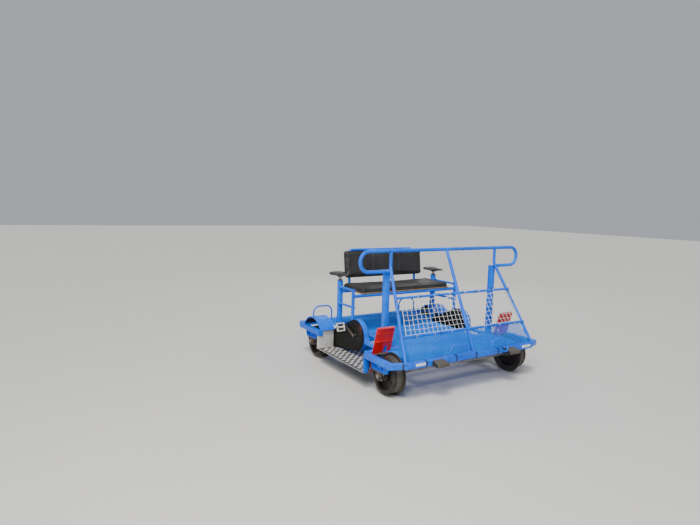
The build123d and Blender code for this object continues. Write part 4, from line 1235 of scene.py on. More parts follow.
GUARD_X, GUARD_Z, GUARD_R = H - 1017.0, RT + 209.0, 212.0
m = Mesh()
a0 = math.asin((TOP - GUARD_Z) / GUARD_R)
arc = [a0 + (pi - 2 * a0) * i / 44 for i in range(45)]
for s in (-1, 1):
    path = [(GUARD_X + GUARD_R * cos(a), s * 770, GUARD_Z + GUARD_R * sin(a)) for a in arc]
    path[0] = (path[0][0], path[0][1], TOP - 0.5)
    path[-1] = (path[-1][0], path[-1][1], TOP - 0.5)
    sect = [(-80, -1.2), (-79, 0), (79, 0), (80, -1.2), (80, -11), (79.2, -12), (77.6, -12), (76.8, -11), (76.8, -3.2),
            (-76.8, -3.2), (-76.8, -11), (-77.6, -12), (-79.2, -12), (-80, -11)]
    v, f = sweep(path, sect, up=(cos(a0), 0, sin(a0)))
    # the underside and the inner faces of the lips take the near-black guard-inside paint, a painted shade
    m.add(v, f, [1 if j in (7, 8, 9) else 0 for _ in range(len(path) - 1) for j in range(len(sect))] + [0, 0])
    for a in (a0, pi - a0):
        x = GUARD_X + (GUARD_R - 1) * cos(a)
        bead(m, [(x, s * 692, TOP + 1), (x, s * 848, TOP + 1)], 2.6, closed=False)
m.to("rear_wheel_guard_sheets", CH, [BLUE, GUARD_INSIDE_SHADE], "rear_wheel_guards", angle=40)

# ---------------------------------------------------------------- pieces: drive
m = Mesh()
for s in (-1, 1):
    xz_plate(m, hull(), s * CASE_IN, s * CASE_OUT, holes=[hull(-4.0)], bevel=1.2)
    fc = (CASE_X + sqrt(202.0 ** 2 - (388 + TOP - 338 - CASE_Z) ** 2), TOP + 50)
    d = V((fc[0] - CASE_X, fc[1] - CASE_Z)).normalized()
    t0 = atan2(d.y, d.x)
    outline = []
    for i in range(9):
        a = math.asin((RT + 285 - CASE_Z) / CASE_R) * (1 - i / 8) + t0 * i / 8
        outline.append((CASE_X + (CASE_R - 1.5) * cos(a), CASE_Z + (CASE_R - 1.5) * sin(a)))
    outline += [(fc[0] + 50 * cos(a), fc[1] + 50 * sin(a)) for a in [t0 + pi + (1.5 * pi - t0 - pi) * i / 10 for i in range(11)]]
    outline += [(H - 75, TOP), (H - 75, RT + 285)]
    xz_plate(m, outline, s * CASE_IN, s * CASE_OUT, bevel=1.2)
    # seam weld round the outer edge of the rim
    for y in (CASE_OUT - 1.2,):
        ring = [(x, s * y, z) for x, z in hull(-0.4)]
        v, f = sweep(ring, circle(1.5, 6), closed=True)
        m.add(v, f)
m.to("chain_case_shells", CH, [BLUE], "chain_case_rims")

m = Mesh()
screws = hull(-11.0, 5)
for s in (-1, 1):
    for y0, y1, grow, dome in ((CASE_OUT, CASE_OUT + COVER, -0.5, 4.0), (CASE_IN, CASE_IN - COVER, -0.5, 2.0)):
        holes = [ring2(CASE_X, CASE_Z, 21.4), ring2(TAIL_X, TAIL_Z, 34.0)]
        xz_plate(m, hull(grow), s * y0, s * y1, holes=holes, bevel=0.8)
        far = y1 + (dome if y1 > y0 else -dome)
        res = 3 if dome > 3 else 1
        holes = [ring2(CASE_X, CASE_Z, 24.0), ring2(TAIL_X, TAIL_Z, 34.6)]
        xz_plate(m, hull(-22.0), s * (y0 if y1 > y0 else y0 - 0.1), s * far, holes=holes, bevel=min(3.4, dome * 0.8), res=res)
        out = 1 if y1 > y0 else -1
        for k, (x, z) in enumerate(screws):
            turned(m, [(0, 2.6), (2.4, 2.4), (4.4, 1.2), (4.9, 0), (6.6, 0), (6.8, -0.6)], (x, s * (y1 + 0.5 * out), z), (0, s * out, 0), 0, 14)
        # felt seal round the turning axle
        turned(m, [(17.0, 0.4), (17.4, 2.4), (33, 2.8), (35.6, 1.4), (36, 0)], (TAIL_X, s * (y1 - 0.2 * out), TAIL_Z), (0, s * out, 0), 2, 36)
m.to("chain_case_cover_plates", CH, [BLACK, ZINC, PLASTIC], "chain_case_covers")

m = Mesh()
for s in (-1, 1):
    turned(m, [(12.6, -34), (19.5, -34), (21, -32), (21, 32), (19.5, 34), (12.6, 34)], (CASE_X, s * 650, CASE_Z), (0, s, 0), seg=40)
    for e in (1, -1):
        y = 650 + e * 34
        turned(m, [(12.6, -0.6), (17.5, -0.6), (17.5, 1.0), (16.2, 1.8), (12.6, 1.8)], (CASE_X, s * y, CASE_Z), (0, s * e, 0), seg=32)
        for k in range(6):
            a = k * pi / 3 + 0.3
            turned(m, [(0, 2.3), (1.5, 2.3), (1.6, 1.6)], (CASE_X + 15 * cos(a), s * y, CASE_Z + 15 * sin(a)), (0, s * e, 0), seg=8)
m.to("bottom_bracket_shells", CH, [CRANK], "bottom_brackets")


def crank_piece(side, s):
    m = Mesh()
    turned(m, [(0, -54), (11.2, -54), (12, -53), (12, 53), (11.2, 54), (0, 54)], (CASE_X, s * 650, CASE_Z), (0, s, 0), seg=28)
    for y0, y1, turn, out in ((690, 704, 0.0, 1), (596, 610, 180.0, -1)):
        a = radians(157.0 + turn)
        u = V((cos(a), 0, sin(a)))
        w = V((0, s, 0)).cross(u)
        rows = 14
        rings = []
        for i in range(rows + 1):
            t = -6 + (150 + 6) * i / rows
            hw = 15.0 - 4.6 * max(0.0, t) / 150
            th = 6.6 - 1.0 * sin(pi * min(max(t, 0), 150) / 150)
            rings.append((t, hw, th))
        prof = 16
        verts = []
        for t, hw, th in rings:
            for k in range(prof):
                b = 2 * pi * k / prof
                cx, cy = cos(b), sin(b)
                px = hw * (abs(cx) ** 0.45) * (1 if cx > 0 else -1)
                py = th * (abs(cy) ** 0.45) * (1 if cy > 0 else -1)
                verts.append(V((CASE_X, s * (y0 + y1) / 2, CASE_Z)) + u * t + w * px + V((0, s * py, 0)))
        faces = []
        for i in range(rows):
            faces += [tuple(reversed(q)) for q in ring_faces(i * prof, (i + 1) * prof, prof)]
        m.add(verts, faces)
        c = V((CASE_X, s * (y0 + y1) / 2, CASE_Z))
        turned(m, [(0, -6.6), (17, -6.6), (19, -5), (19, 5), (17, 6.9), (11, 6.9), (10.5, 5.5), (0, 5.5)], c, (0, s * out, 0), seg=32)
        bolt(m, c + V((0, s * out * 5.0, 0)), (0, s * out, 0), 9.0, 1, washer=False)
        e = c + u * 150
        turned(m, [(6.2, -6.4), (11.5, -6.4), (13, -5), (13, 5), (11.5, 6.4), (6.2, 6.4), (6.2, -6.4)], e, (0, s, 0), seg=28)
    m.to(f"crank_arms_{side}", f"{side}_crank", [CRANK, ZINC], f"crank_{side}")


def pedal_piece(name, side, s, turn, y0, y1):
    """Flat pedal: pale cage with toothed rims, black rubber blocks, spindle."""
    a = radians(157.0 + turn)
    px, pz = CASE_X + 150 * cos(a), CASE_Z + 150 * sin(a)
    inner, outer = (y1 + 8, y1 + 96) if name == "outer" else (y0 - 96, y0 - 8)
    arm_y, far_y = (inner, outer) if name == "outer" else (outer, inner)
    lo, hi = inner + 2, outer - 2
    m = Mesh()
    for e in (-1, 1):
        # pale rims with small teeth above and below, and a rubber insert in each window
        box(m, px + e * 29.5, px + e * 41, s * lo, s * hi, pz - 10, pz + 10, 3.2, seg=3)
        for k in range(9):
            y = lo + 6 + k * (hi - lo - 12) / 8
            for t in (-1, 1):
                box(m, px + e * 33, px + e * 38, s * (y - 1.6), s * (y + 1.6), pz + t * 9, pz + t * 11.8, 0.7)
        box(m, px + e * 13.5, px + e * 27, s * (lo + 17), s * (hi - 15), pz - 5.5, pz + 5.5, 1.6, mat=1)
        for j in range(5):
            y = lo + 24 + j * (hi - lo - 46) / 4
            box(m, px + e * 14.5, px + e * 26, s * (y - 3), s * (y + 3), pz - 7.5, pz + 7.5, 1.2, mat=1)
    for y in (lo, hi - 10):
        box(m, px - 39, px + 39, s * y, s * (y + 10), pz - 10, pz + 10, 3.0, seg=3)
    turned(m, [(6.2, lo + 2), (11.5, lo + 2), (12, lo + 8), (9.5, lo + 14), (9.5, hi - 14), (12, hi - 8), (11.5, hi - 2),
               (6.2, hi - 2)], (px, 0, pz), (0, s, 0), 0, 28)
    cap = 1 if far_y > arm_y else -1
    turned(m, [(0, 2.4), (6, 2.2), (8.6, 0.8), (9, -1)], (px, s * (far_y - 2 * cap), pz), (0, s * cap, 0), 1, 20)
    if name == "outer":
        turn_y, c = np.array(Matrix.Rotation(radians(70), 3, "Y")), np.array([px, 0.0, pz])
        m.v = [(v - c) @ turn_y.T + c for v in m.v]
    reach = y0 if name == "outer" else y1
    a_, b_ = sorted((reach, (inner + outer) / 2))
    turned(m, [(0, a_ + 0.3), (5.6, a_ + 0.3), (6, a_ + 0.8), (6, b_ - 0.6), (5.6, b_), (0, b_)], (px, 0, pz), (0, s, 0), 2, 20)
    m.to(f"pedal_{name}_{side}_detail", f"{side}_{name}_pedal", [CREAM, PLASTIC, STEEL], f"pedal_{name}_{side}")


for side, s in SIDES:
    crank_piece(side, s)
    pedal_piece("outer", side, s, 0.0, 690, 704)
    pedal_piece("inner", side, s, 180.0, 596, 610)

# ---------------------------------------------------------------- pieces: wheels
WHEEL_RING = [(15.2, 702, 1), (43, 702, 1), (46, 704, 1), (46.5, 723, 1), (49, 727.6, 1), (54, 728.6, 1), (112, 728.6, 1), (117, 727, 1),
              (121, 722, 1), (124, 690, 1), (126.5, 687, 1), (150, 682.4, 1), (165, 680.3, 1), (173, 680.6, 0), (178, 683, 0),
              (180, 687.5, 0), (179.3, 692, 0), (176.5, 695.6, 0), (169, 698, 0), (161, 700.6, 0), (157, 703.6, 2), (155, 708, 2),
              (154.6, 714, 2), (153.4, 738, 2), (152.4, 752, 0), (151.9, 753, 0), (151.2, 754.2, 0), (151.9, 755.4, 0), (151.6, 770, 0),
              (151.2, 786, 0), (150.2, 791, 0), (147.6, 794.3, 0), (145, 795, 1), (142, 795, 1), (140.6, 793.4, 1), (139, 793.4, 1),
              (137.6, 795, 1), (131, 795, 1), (128.6, 793.6, 1), (127.4, 790, 1), (124.4, 752, 1), (121, 746, 1), (115, 744.2, 1),
              (96, 743.6, 1), (94, 742.6, 1), (92, 743.6, 1), (60, 744, 1), (53, 746, 1), (50, 751, 1), (47.5, 783, 1), (45, 786.8, 1),
              (41, 788, 1), (24, 788, 1), (22, 786.6, 1), (15.2, 786.6, 1)]


def wheel_faces(seg):
    return [m_ for _, _, m_ in WHEEL_RING[:-1] for _ in range(seg)]


for end, ax in (("front", FRONT_X), ("rear", REAR_X)):
    m = Mesh()
    for s in (-1, 1):
        v, f = lathe([(r, y) for r, y, _ in WHEEL_RING], 96)
        m.add(v, f, wheel_faces(96), True, at((ax, 0, AXLE_Z), (0, s, 0)))
        for k in range(6):
            a = k * pi / 3 + 0.2
            bolt(m, (ax + 78 * cos(a), s * 743.9, AXLE_Z + 78 * sin(a)), (0, s, 0), 13, 1)
            bolt(m, (ax + 78 * cos(a), s * 728.6, AXLE_Z + 78 * sin(a)), (0, -s, 0), 13, 1)
        bolt(m, (ax + 46.5 * cos(0.9), s * 768, AXLE_Z + 46.5 * sin(0.9)), (cos(0.9), 0, sin(0.9)), 8, 3, washer=False)
    m.to(f"{end}_wheels", f"{end}_wheelset", [WHEEL_FLANGE, WHEEL, TREAD, ZINC],
         (f"{end}_wheel_flanges", f"{end}_wheel_treads", f"{end}_wheel_hubs"), angle=24)
    m = Mesh()
    turned(m, [(0, -850.5), (3.4, -850.5), (4.6, -852), (13.2, -852), (15, -850), (15, 850), (13.2, 852), (4.6, 852), (3.4, 850.5),
               (0, 850.5)], (ax, 0, AXLE_Z), (0, 1, 0), 0, 36)
    for s in (-1, 1):
        turned(m, [(15.1, 0), (23, 0), (24.5, 1.4), (24.5, 12.6), (23, 14), (15.1, 14)], (ax, s * 684, AXLE_Z), (0, s, 0), 0, 32)
    if end == "rear":
        for s in (-1, 1):
            turned(m, [(15, -14), (16.4, -14), (16.4, 14), (15, 14)], (ax, s * 645, AXLE_Z), (0, s, 0), 0, 28)
    m.to(f"{end}_axle_shaft", f"{end}_wheelset", [AXLE], f"{end}_axle")

# ---------------------------------------------------------------- pieces: foot brakes
BX, BZ, DX, DZ = H + 36.0, RT + 296.0, 64.0, 249.0
BL = hypot(DX, DZ)
for side, s in SIDES:
    m = Mesh()
    up = V((DX, 0, DZ)) / BL
    front = V((up.z, 0, -up.x))
    out = [(664, 0), (672, 0), (671, 44), (675, 68), (684, 80), (694, 80), (703, 62), (714, 0), (812, 0), (820, 10),
           (816, BL - 12), (806, BL), (646, BL), (636, BL - 12), (632, 24), (664, 24)]
    # local x runs along the axle, local y up the plate, local z to the front
    t = Matrix.Translation((BX, 0, BZ)) @ Matrix(((0, up.x, front.x, 0), (1, 0, 0, 0), (0, up.z, front.z, 0), (0, 0, 0, 1)))
    outline = flat([(s * u, v) for u, v in out], 2.5, 3)
    me = prism(outline, (), 5.0, 1.0, 2)
    m.add_mesh(me, 0, t)
    bpy.data.meshes.remove(me)
    part = Mesh()
    for v_ in (124.0, 198.0):
        box(part, s * 639, s * 811, v_ - 5, v_ + 5, 2, 12, 2.2, seg=3)
        bead(part, [(s * 641, v_ - 6, 3), (s * 809, v_ - 6, 3)], 1.8, closed=False)
    # rolled side edges and the folded top
    for u0, u1 in ((634, 638.5), (815.5, 819.5)):
        box(part, s * u0, s * u1, 36, BL - 14, 1, 6.5, 1.6)
    box(part, s * 644, s * 808, BL - 5, BL - 0.4, -3, 24.5, 1.8, seg=3)
    for k in range(9):
        box(part, s * (656 + k * 17), s * (664 + k * 17), BL - 1.5, BL + 0.8, 0, 22, 0.8)
    m.add(np.concatenate(part.v), part.f, 0, True, t)
    turned(m, [(0, 645), (7.2, 645), (8, 646), (8, 839), (7.2, 840), (0, 840)], (BX, 0, BZ), (0, s, 0), 1, 24)
    for y in (664, 672, 714, 812):
        bead(m, ring_at((BX, s * y, BZ), (0, 1, 0), 8.8), 2.2)
    lever = flat([(BX - 16, BZ + 9), (BX + 9, BZ + 9), (H + 31, RT + 132), (H + 5, RT + 132)], 5, 4)
    xz_plate(m, lever, s * 813, s * 821, bevel=1.4, res=2, mat=2)
    # clevis pin at the lever's lower half, with its washer
    for e in (1, -1):
        turned(m, [(0, 3.8), (6.2, 3.8), (7, 3.2), (7, 1.6), (10.5, 1.6), (10.5, 0)], (H + 20, s * (817 + 4 * e), RT + 176), (0, s * e, 0), 3, 20)
    m.to(f"brake_pedal_{side}_detail", f"{side}_brake", [RED, STEEL, RED_DARK, ZINC], f"brake_pedal_{side}")
    m = Mesh()
    for r0, r1, a0_, a1_, y0, y1, mt in ((168, 184, 112, 130, 716, 778, 0), (180, 203, 114, 131.0, 742, 754, 1)):
        n = 10
        angs = [radians(a0_ + (a1_ - a0_) * i / n) for i in range(n + 1)]
        outline = [(FRONT_X + r0 * cos(a), AXLE_Z + r0 * sin(a)) for a in angs]
        outline += [(FRONT_X + r1 * cos(a), AXLE_Z + r1 * sin(a)) for a in reversed(angs)]
        xz_plate(m, outline, s * y0, s * y1, bevel=1.2 if mt == 0 else 1.6, res=2, mat=mt)
    for y in (728, 766):
        bolt(m, (FRONT_X + 184 * cos(radians(121)), s * y, AXLE_Z + 184 * sin(radians(121))), (cos(radians(121)), 0, sin(radians(121))),
             8, 2)
    m.to(f"brake_shoe_{side}_detail", f"{side}_brake", [RUBBER, RED_DARK, ZINC], f"brake_shoe_{side}")

# ---------------------------------------------------------------- pieces: seat frames
POST_X0, POST_X1, LEG_X = H - 903.0, H - 857.0, H - 562.0
m = Mesh()
for s in (-1, 1):
    box(m, POST_X0, POST_X1, s * 588, s * 632, TOP + 6, RT + 799, 5.0, seg=3)
    box(m, POST_X0 + 0.4, POST_X1 - 0.4, s * 588.4, s * 613, TOP, TOP + 12, 1.0)
    box(m, POST_X0 - 0.6, POST_X1 + 0.6, s * 587.4, s * 632.6, RT + 796, RT + 800, 1.6)
    bead(m, [(POST_X0, s * 588, TOP + 1), (POST_X0, s * 612, TOP + 1)], 2.6, closed=False)
    bead(m, [(POST_X1, s * 588, TOP + 1), (POST_X1, s * 612, TOP + 1)], 2.6, closed=False)
    bead(m, [(POST_X0, s * 588, TOP + 1), (POST_X1, s * 588, TOP + 1)], 2.6, closed=False)
m.to("saddle_upright_tubes", CH, [BLUE], "saddle_uprights")

m = Mesh()
for s in (-1, 1):
    foot_z = CASE_Z + sqrt(CASE_R ** 2 - (LEG_X - CASE_X) ** 2)
    tube(m, [(LEG_X, s * 650, foot_z + 0.5), (LEG_X, s * 650, RT + 756)], 16.0, 0, 24)
    turned(m, [(0, 3.2), (8, 3.0), (14.5, 1.6), (16.3, 0), (16.3, -3)], (LEG_X, s * 650, RT + 755.2), (0, 0, 1), 0, 24)
    ring = []
    for i in range(24):
        a = 2 * pi * i / 24
        x = LEG_X + 16.2 * cos(a)
        ring.append((x, s * 650 + 16.2 * sin(a), CASE_Z + sqrt(CASE_R ** 2 - (x - CASE_X) ** 2) + 0.8))
    bead(m, ring, 2.8)
m.to("bench_leg_tubes", CH, [BLUE], "bench_front_legs")

m = Mesh()
for s in (-1, 1):
    for z in (RT + 743, RT + 576):
        tube(m, [(POST_X1 - 1, s * 631, z), (LEG_X - 6, s * 631, z)], 11.0, 0, 18)
        bead(m, ring_at((POST_X1 + 0.8, s * 631, z), (1, 0, 0), 11.0), 2.4)
        bead(m, ring_at((LEG_X - 14, s * 631, z), (1, 0, 0), 11.2), 2.4)
m.to("bench_side_tubes", CH, [BLUE], "bench_side_bars")

m = Mesh()
tube(m, [(LEG_X, -640, SEAT_Z), (LEG_X, 640, SEAT_Z)], 16.0, 0, 24)
box(m, POST_X0 + 5, POST_X1 - 5, -588, 588, SEAT_Z - 16, SEAT_Z + 16, 3.5, seg=3)
for s in (-1, 1):
    bead(m, ring_at((LEG_X, s * 634, SEAT_Z), (0, 1, 0), 16.0), 2.6)
    loop_y(m, s * 587.4, POST_X0 + 6, POST_X1 - 6, SEAT_Z - 15, SEAT_Z + 15)
m.to("bench_cross_tubes", CH, [BLUE], "bench_cross_bars")

m = Mesh()
tube(m, [(POST_X0 + 6, -430, SEAT_Z), (H - 990, -430, SEAT_Z), (H - 1042, -430, RT + 1092),
         (H - 1042, 430, RT + 1092), (H - 990, 430, SEAT_Z), (POST_X0 + 6, 430, SEAT_Z)], 14.0, 60, 22, arc=10)
for s in (-1, 1):
    bead(m, ring_at((POST_X0 + 3.5, s * 430, SEAT_Z), (1, 0, 0), 14.0), 2.6)
m.to("backrest_frame_tube", CH, [BLUE], "backrest_frame")

m = Mesh()
xy_plate(m, flat([(H - 548, 559), (H - 949, 559), (H - 949, -559), (H - 548, -559)], 18, 4), SEAT_Z + 16, SEAT_Z + 26, bevel=0.8)
for s in (-1, 1):
    for x in (H - 562, H - 880):
        for y in (150, 420):
            turned(m, [(0, 2.2), (4.0, 1.8), (5.6, 0.0)], (x, s * y, SEAT_Z + 16.4), (0, 0, -1), 1, 12)
m.to("bench_plywood_board", CH, [PLY, ZINC], "bench_board")

m = Mesh()
for s in (-1, 1):
    turned(m, [(13, 0), (13, 41), (12, 42), (0, 42)], (H - 880, s * 612, RT + 800), (0, 0, 1), 0, 26)
    turned(m, [(14, 0), (20.5, 0), (21.5, 1), (21.5, 12), (20.5, 13), (14, 13)], (H - 880, s * 612, RT + 800), (0, 0, 1), 1, 28)
    box(m, H - 905, H - 899, s * 600, s * 606, RT + 801, RT + 812, 1.2, mat=1)
    turned(m, [(0, 5), (4, 5), (4.4, 0)], (H - 905, s * 612, RT + 806.5), (-1, 0, 0), 1, 10)
    turned(m, [(0, 5), (4, 5), (4.4, 0)], (H - 857.5, s * 612, RT + 806.5), (1, 0, 0), 1, 10)
    # clamp under the saddle
    turned(m, [(0, -17), (9, -17), (10, -16), (10, 16), (9, 17), (0, 17)], (H - 880, s * 612, RT + 838), (0, 1, 0), 1, 18)
m.to("saddle_stem_tubes", CH, [STEEL, DARK], "saddle_stems")


# ---------------------------------------------------------------- pieces: soft goods
def run_cloth(verts, faces, voxel, cap, frames=20, pin=None, pressure=4.0):
    """Puffs up a closed shape (mm) and returns a new Blender mesh in metres. pin(x, y, z) keeps points down."""
    me = bpy.data.meshes.new("soft_start")
    me.from_pydata([tuple(c / 1000 for c in v) for v in verts], [], faces)
    ob = bpy.data.objects.new("soft_start", me)
    bpy.context.scene.collection.objects.link(ob)
    mod = ob.modifiers.new("remesh", "REMESH")
    mod.mode = "VOXEL"
    mod.voxel_size = voxel / 1000
    bpy.context.view_layer.update()
    base = bpy.data.meshes.new_from_object(ob.evaluated_get(bpy.context.evaluated_depsgraph_get()))
    bpy.data.objects.remove(ob)
    n = len(base.vertices)
    co = np.empty(n * 3)
    base.vertices.foreach_get("co", co)
    start = co.reshape(-1, 3).copy()
    ob = bpy.data.objects.new("soft_sim", base)
    bpy.context.scene.collection.objects.link(ob)
    cl = ob.modifiers.new("cloth", "CLOTH")
    cs = cl.settings
    cs.use_pressure = True
    cs.uniform_pressure_force = pressure
    cs.quality = 4
    cs.mass = 0.3
    cs.tension_stiffness = cs.compression_stiffness = 18
    cs.bending_stiffness = 1.2
    cs.effector_weights.gravity = 0
    cl.collision_settings.use_collision = False
    cl.point_cache.frame_start, cl.point_cache.frame_end = 1, frames
    if pin is not None:
        vg = ob.vertex_groups.new(name="pin")
        vg.add([i for i, p in enumerate(start * 1000) if pin(*p)], 1.0, "REPLACE")
        cs.vertex_group_mass = "pin"
    for f in range(1, frames + 1):
        bpy.context.scene.frame_set(f)
    dg = bpy.context.evaluated_depsgraph_get()
    ev = ob.evaluated_get(dg)
    got = np.empty(n * 3)
    ev.data.vertices.foreach_get("co", got)
    got = got.reshape(-1, 3)
    move = got - start
    dist = np.linalg.norm(move, axis=1, keepdims=True)
    move *= np.minimum(1.0, (cap / 1000) / np.maximum(dist, 1e-9))
    start = start + move
    bpy.data.objects.remove(ob)
    bpy.context.scene.frame_set(1)
    base.vertices.foreach_set("co", start.reshape(-1))
    base.update()
    return base


def finish_soft(base, name, body, mats, replaces, keep=None, subdiv=1):
    """Smooths, keeps the shape inside keep's limits (mm), subdivides once and makes the piece."""
    bm = bmesh.new()
    bm.from_mesh(base)
    for _ in range(3):
        bmesh.ops.smooth_vert(bm, verts=bm.verts, factor=0.5, use_axis_x=True, use_axis_y=True, use_axis_z=True)
    if subdiv:
        bmesh.ops.subdivide_edges(bm, edges=bm.edges, cuts=1, use_grid_fill=True, smooth=0.6)
    if keep:
        for v in bm.verts:
            v.co = keep(v.co * 1000) / 1000
    me = bpy.data.meshes.new(name)
    bm.to_mesh(me)
    bm.free()
    for mt in mats:
        me.materials.append(mt)
    me.polygons.foreach_set("use_smooth", [True] * len(me.polygons))
    ob = bpy.data.objects.new(name, me)
    bpy.context.scene.collection.objects.link(ob)
    place(ob, body, replaces)
    return ob


def hug(ob, points, lift=0.0):
    """The points moved to the nearest place on a soft piece, then out along its normal by lift mm."""
    out = []
    for p in points:
        _, loc, nrm, _ = ob.closest_point_on_mesh(V(p) / 1000)
        out.append((loc + nrm * lift / 1000) * 1000)
    return out


def block_mesh(outline, z0, z1, matrix=None, bevel=12.0):
    """Vertices (mm) and faces of a thick plate with rounded edges."""
    me = prism(outline, (), z1 - z0, bevel, 4)
    t = (matrix or Matrix()) @ Matrix.Translation((0, 0, (z0 + z1) / 2))
    verts = [tuple(t @ v.co) for v in me.vertices]
    faces = [tuple(p.vertices) for p in me.polygons]
    bpy.data.meshes.remove(me)
    return verts, faces


def dense(points, step=14.0, closed=True):
    pts = [V(p) for p in points]
    out = []
    n = len(pts)
    for i in range(n if closed else n - 1):
        a, b = pts[i], pts[(i + 1) % n]
        k = max(1, int((b - a).length / step))
        out += [a.lerp(b, j / k) for j in range(k)]
    if not closed:
        out.append(pts[-1])
    return out


# bench cushion: one long pad with two sewn channels across it
Z0, Z1 = SEAT_Z + 26, SEAT_Z + 76
outline = flat([(H - 552, 551), (H - 943, 551), (H - 943, -551), (H - 552, -551)], 26, 5)
v, f = block_mesh(outline, Z0 + 1, Z1 - 9, None, 13.0)
base = run_cloth(v, f, 8.0, 13.0, pin=lambda x, y, z: z < Z0 + 5)


def press(z_low, seams, depth, width, axis=1):
    """Pushes the top down along sewn channels at the given places, and keeps the underside flat."""
    def keep(p):
        top = max(0.0, min(1.0, (p.z - z_low - 6) / 22.0))
        for q in seams:
            p.z -= depth * top * math.exp(-((p[axis] - q) / width) ** 2)
        p.z = max(p.z, z_low)
        return p
    return keep


def bench_keep(p):
    p = press(Z0, (-187, 187), 8.0, 11.0)(p)
    p.z = min(p.z, Z1 + 4)
    # slight hollows in the three seat places, and a little unevenness
    top = max(0.0, min(1.0, (p.z - Z0 - 10) / 25.0))
    for c in (-372, 0, 372):
        p.z -= top * 4.0 * math.exp(-((p.y - c) / 110) ** 2 - ((p.x - (H - 740)) / 110) ** 2)
    p.z += top * 0.9 * noise.noise((p.x / 60, p.y / 60, 3.0))
    return p


pad = finish_soft(base, "bench_seat_cushion", CH, [VINYL], "bench_cushion", bench_keep)
m = Mesh()
edge = flat([(H - 549, 554), (H - 946, 554), (H - 946, -554), (H - 549, -554)], 28, 6)
for z, lift in ((Z1 - 6, 0.9), (Z0 + 7, 0.9)):
    ring = hug(pad, dense([(x, y, z) for x, y in edge], 10), lift)
    v, f = sweep(ring, circle(2.4, 7), closed=True)
    m.add(v, f)
for y in (-187, 187):
    line = hug(pad, dense([(H - 556, y, Z1 + 5), (H - 939, y, Z1 + 5)], 8, False), 0.2)
    for a, b in zip(line[::1], line[1::1]):
        d_ = (b - a) * 0.28
        v, f = sweep([a + d_ * 0.4, a.lerp(b, 0.5) + V((0, 0, 0.5)), b - d_ * 0.4], circle(0.8, 5))
        m.add(v, f)
m.to("bench_cushion_piping", CH, [PIPING], (), angle=None)

# backrest: a pad on a thin board, between the bars of the frame
LEAN = atan2(52, 402)
BT = at((H - 990, 0, RT + 800), (cos(LEAN), 0, sin(LEAN)), (0, 1, 0))
outline = flat([(-499, 6), (499, 6), (499, 284), (-499, 284)], 30, 5)
v, f = block_mesh(outline, 17.5, 42.0, BT, 11.0)
BI = BT.inverted()
base = run_cloth(v, f, 7.0, 9.0, pin=lambda x, y, z: (BI @ V((x, y, z))).z < 20)


def back_keep(p):
    q = BI @ p
    top = max(0.0, min(1.0, (q.z - 22) / 16.0))
    for c in (-168, 168):
        q.z -= 6.0 * top * math.exp(-((q.x - c) / 10.0) ** 2)
    q.z -= 2.6 * top * math.exp(-((q.x) / 150.0) ** 2 - ((q.y - 120) / 90.0) ** 2)
    q.z = max(15.6, min(q.z, 49.5))
    return BT @ q


pad = finish_soft(base, "backrest_pad", CH, [VINYL], "backrest_cushion", back_keep)
m = Mesh()
edge = flat([(-502, 3), (502, 3), (502, 287), (-502, 287)], 32, 6)
for z in (40.0, 21.0):
    ring = hug(pad, dense([tuple(BT @ V((x, y, z))) for x, y in edge], 10), 0.9)
    v, f = sweep(ring, circle(2.2, 7), closed=True, up=(1, 0, 0))
    m.add(v, f)
for x in (-168, 168):
    line = hug(pad, dense([tuple(BT @ V((x, 12, 52))), tuple(BT @ V((x, 278, 52)))], 8, False), 0.2)
    for a, b in zip(line, line[1:]):
        d_ = (b - a) * 0.28
        v, f = sweep([a + d_ * 0.4, a.lerp(b, 0.5) + V((0.5, 0, 0)), b - d_ * 0.4], circle(0.8, 5))
        m.add(v, f)
m.to("backrest_piping", CH, [PIPING], (), angle=None)
m = Mesh()
plate(m, flat([(-500, 5), (500, 5), (500, 285), (-500, 285)], 30, 5), BT @ V((0, 0, 14.2)), (cos(LEAN), 0, sin(LEAN)), (0, 1, 0),
      thick=3.2, bevel=0.6)
for sx in (-1, 1):
    for yy in (40, 250):
        # saddle clips that hold the board to the frame's bars
        c = BT @ V((sx * 430, yy, 0))
        band_r = [(14.2, -9), (15.8, -9), (15.8, 9), (14.2, 9), (14.2, -9)]
        v, f = lathe(band_r, 20, 0, 2 * pi)
        m.add(v, f, 1, True, at(c, BT.to_3x3() @ V((0, 1, 0))))
        for e in (-1, 1):
            turned(m, [(0, 2.4), (3, 2.2), (4.6, 0)], BT @ V((sx * 430 + e * 22, yy, 12.6)), (-cos(LEAN), 0, -sin(LEAN)), 1, 12)
m.to("backrest_board", CH, [PLASTIC, ZINC], ())


# saddles: a shaped shell of padded vinyl, seamed round the rim, on two rods
def saddle_shape(u, w):
    """Point of the saddle, u from the tail to the nose, w from -1 (one rim) over the top to 1."""
    xs = [-990, -978, -958, -930, -900, -868, -835, -800, -768, -745, -733]
    hw = [52, 74, 86, 88, 78, 58, 42, 33, 27, 21, 11]
    tops = [37, 42, 43.4, 42.6, 40.6, 39.4, 39.0, 39.2, 39.4, 38.0, 33]
    dep = [16, 22, 25, 26, 27, 27, 24, 21, 19, 17, 13]
    p = u * (len(xs) - 1)
    i = min(int(p), len(xs) - 2)
    t = p - i
    t = t * t * (3 - 2 * t) * 0.25 + t * 0.75
    g = lambda a: a[i] * (1 - t) + a[i + 1] * t
    half, top, drop = g(hw), g(tops), g(dep)
    b = w * pi / 2
    y = half * (abs(sin(b)) ** 0.62) * (1 if w > 0 else -1)
    z = top - drop * (1 - max(cos(b), 0.0) ** 0.75) - 2.2 * math.exp(-(w / 0.22) ** 2) * (1 if 0.1 < u < 0.8 else 0.3)
    return g(xs), y, z


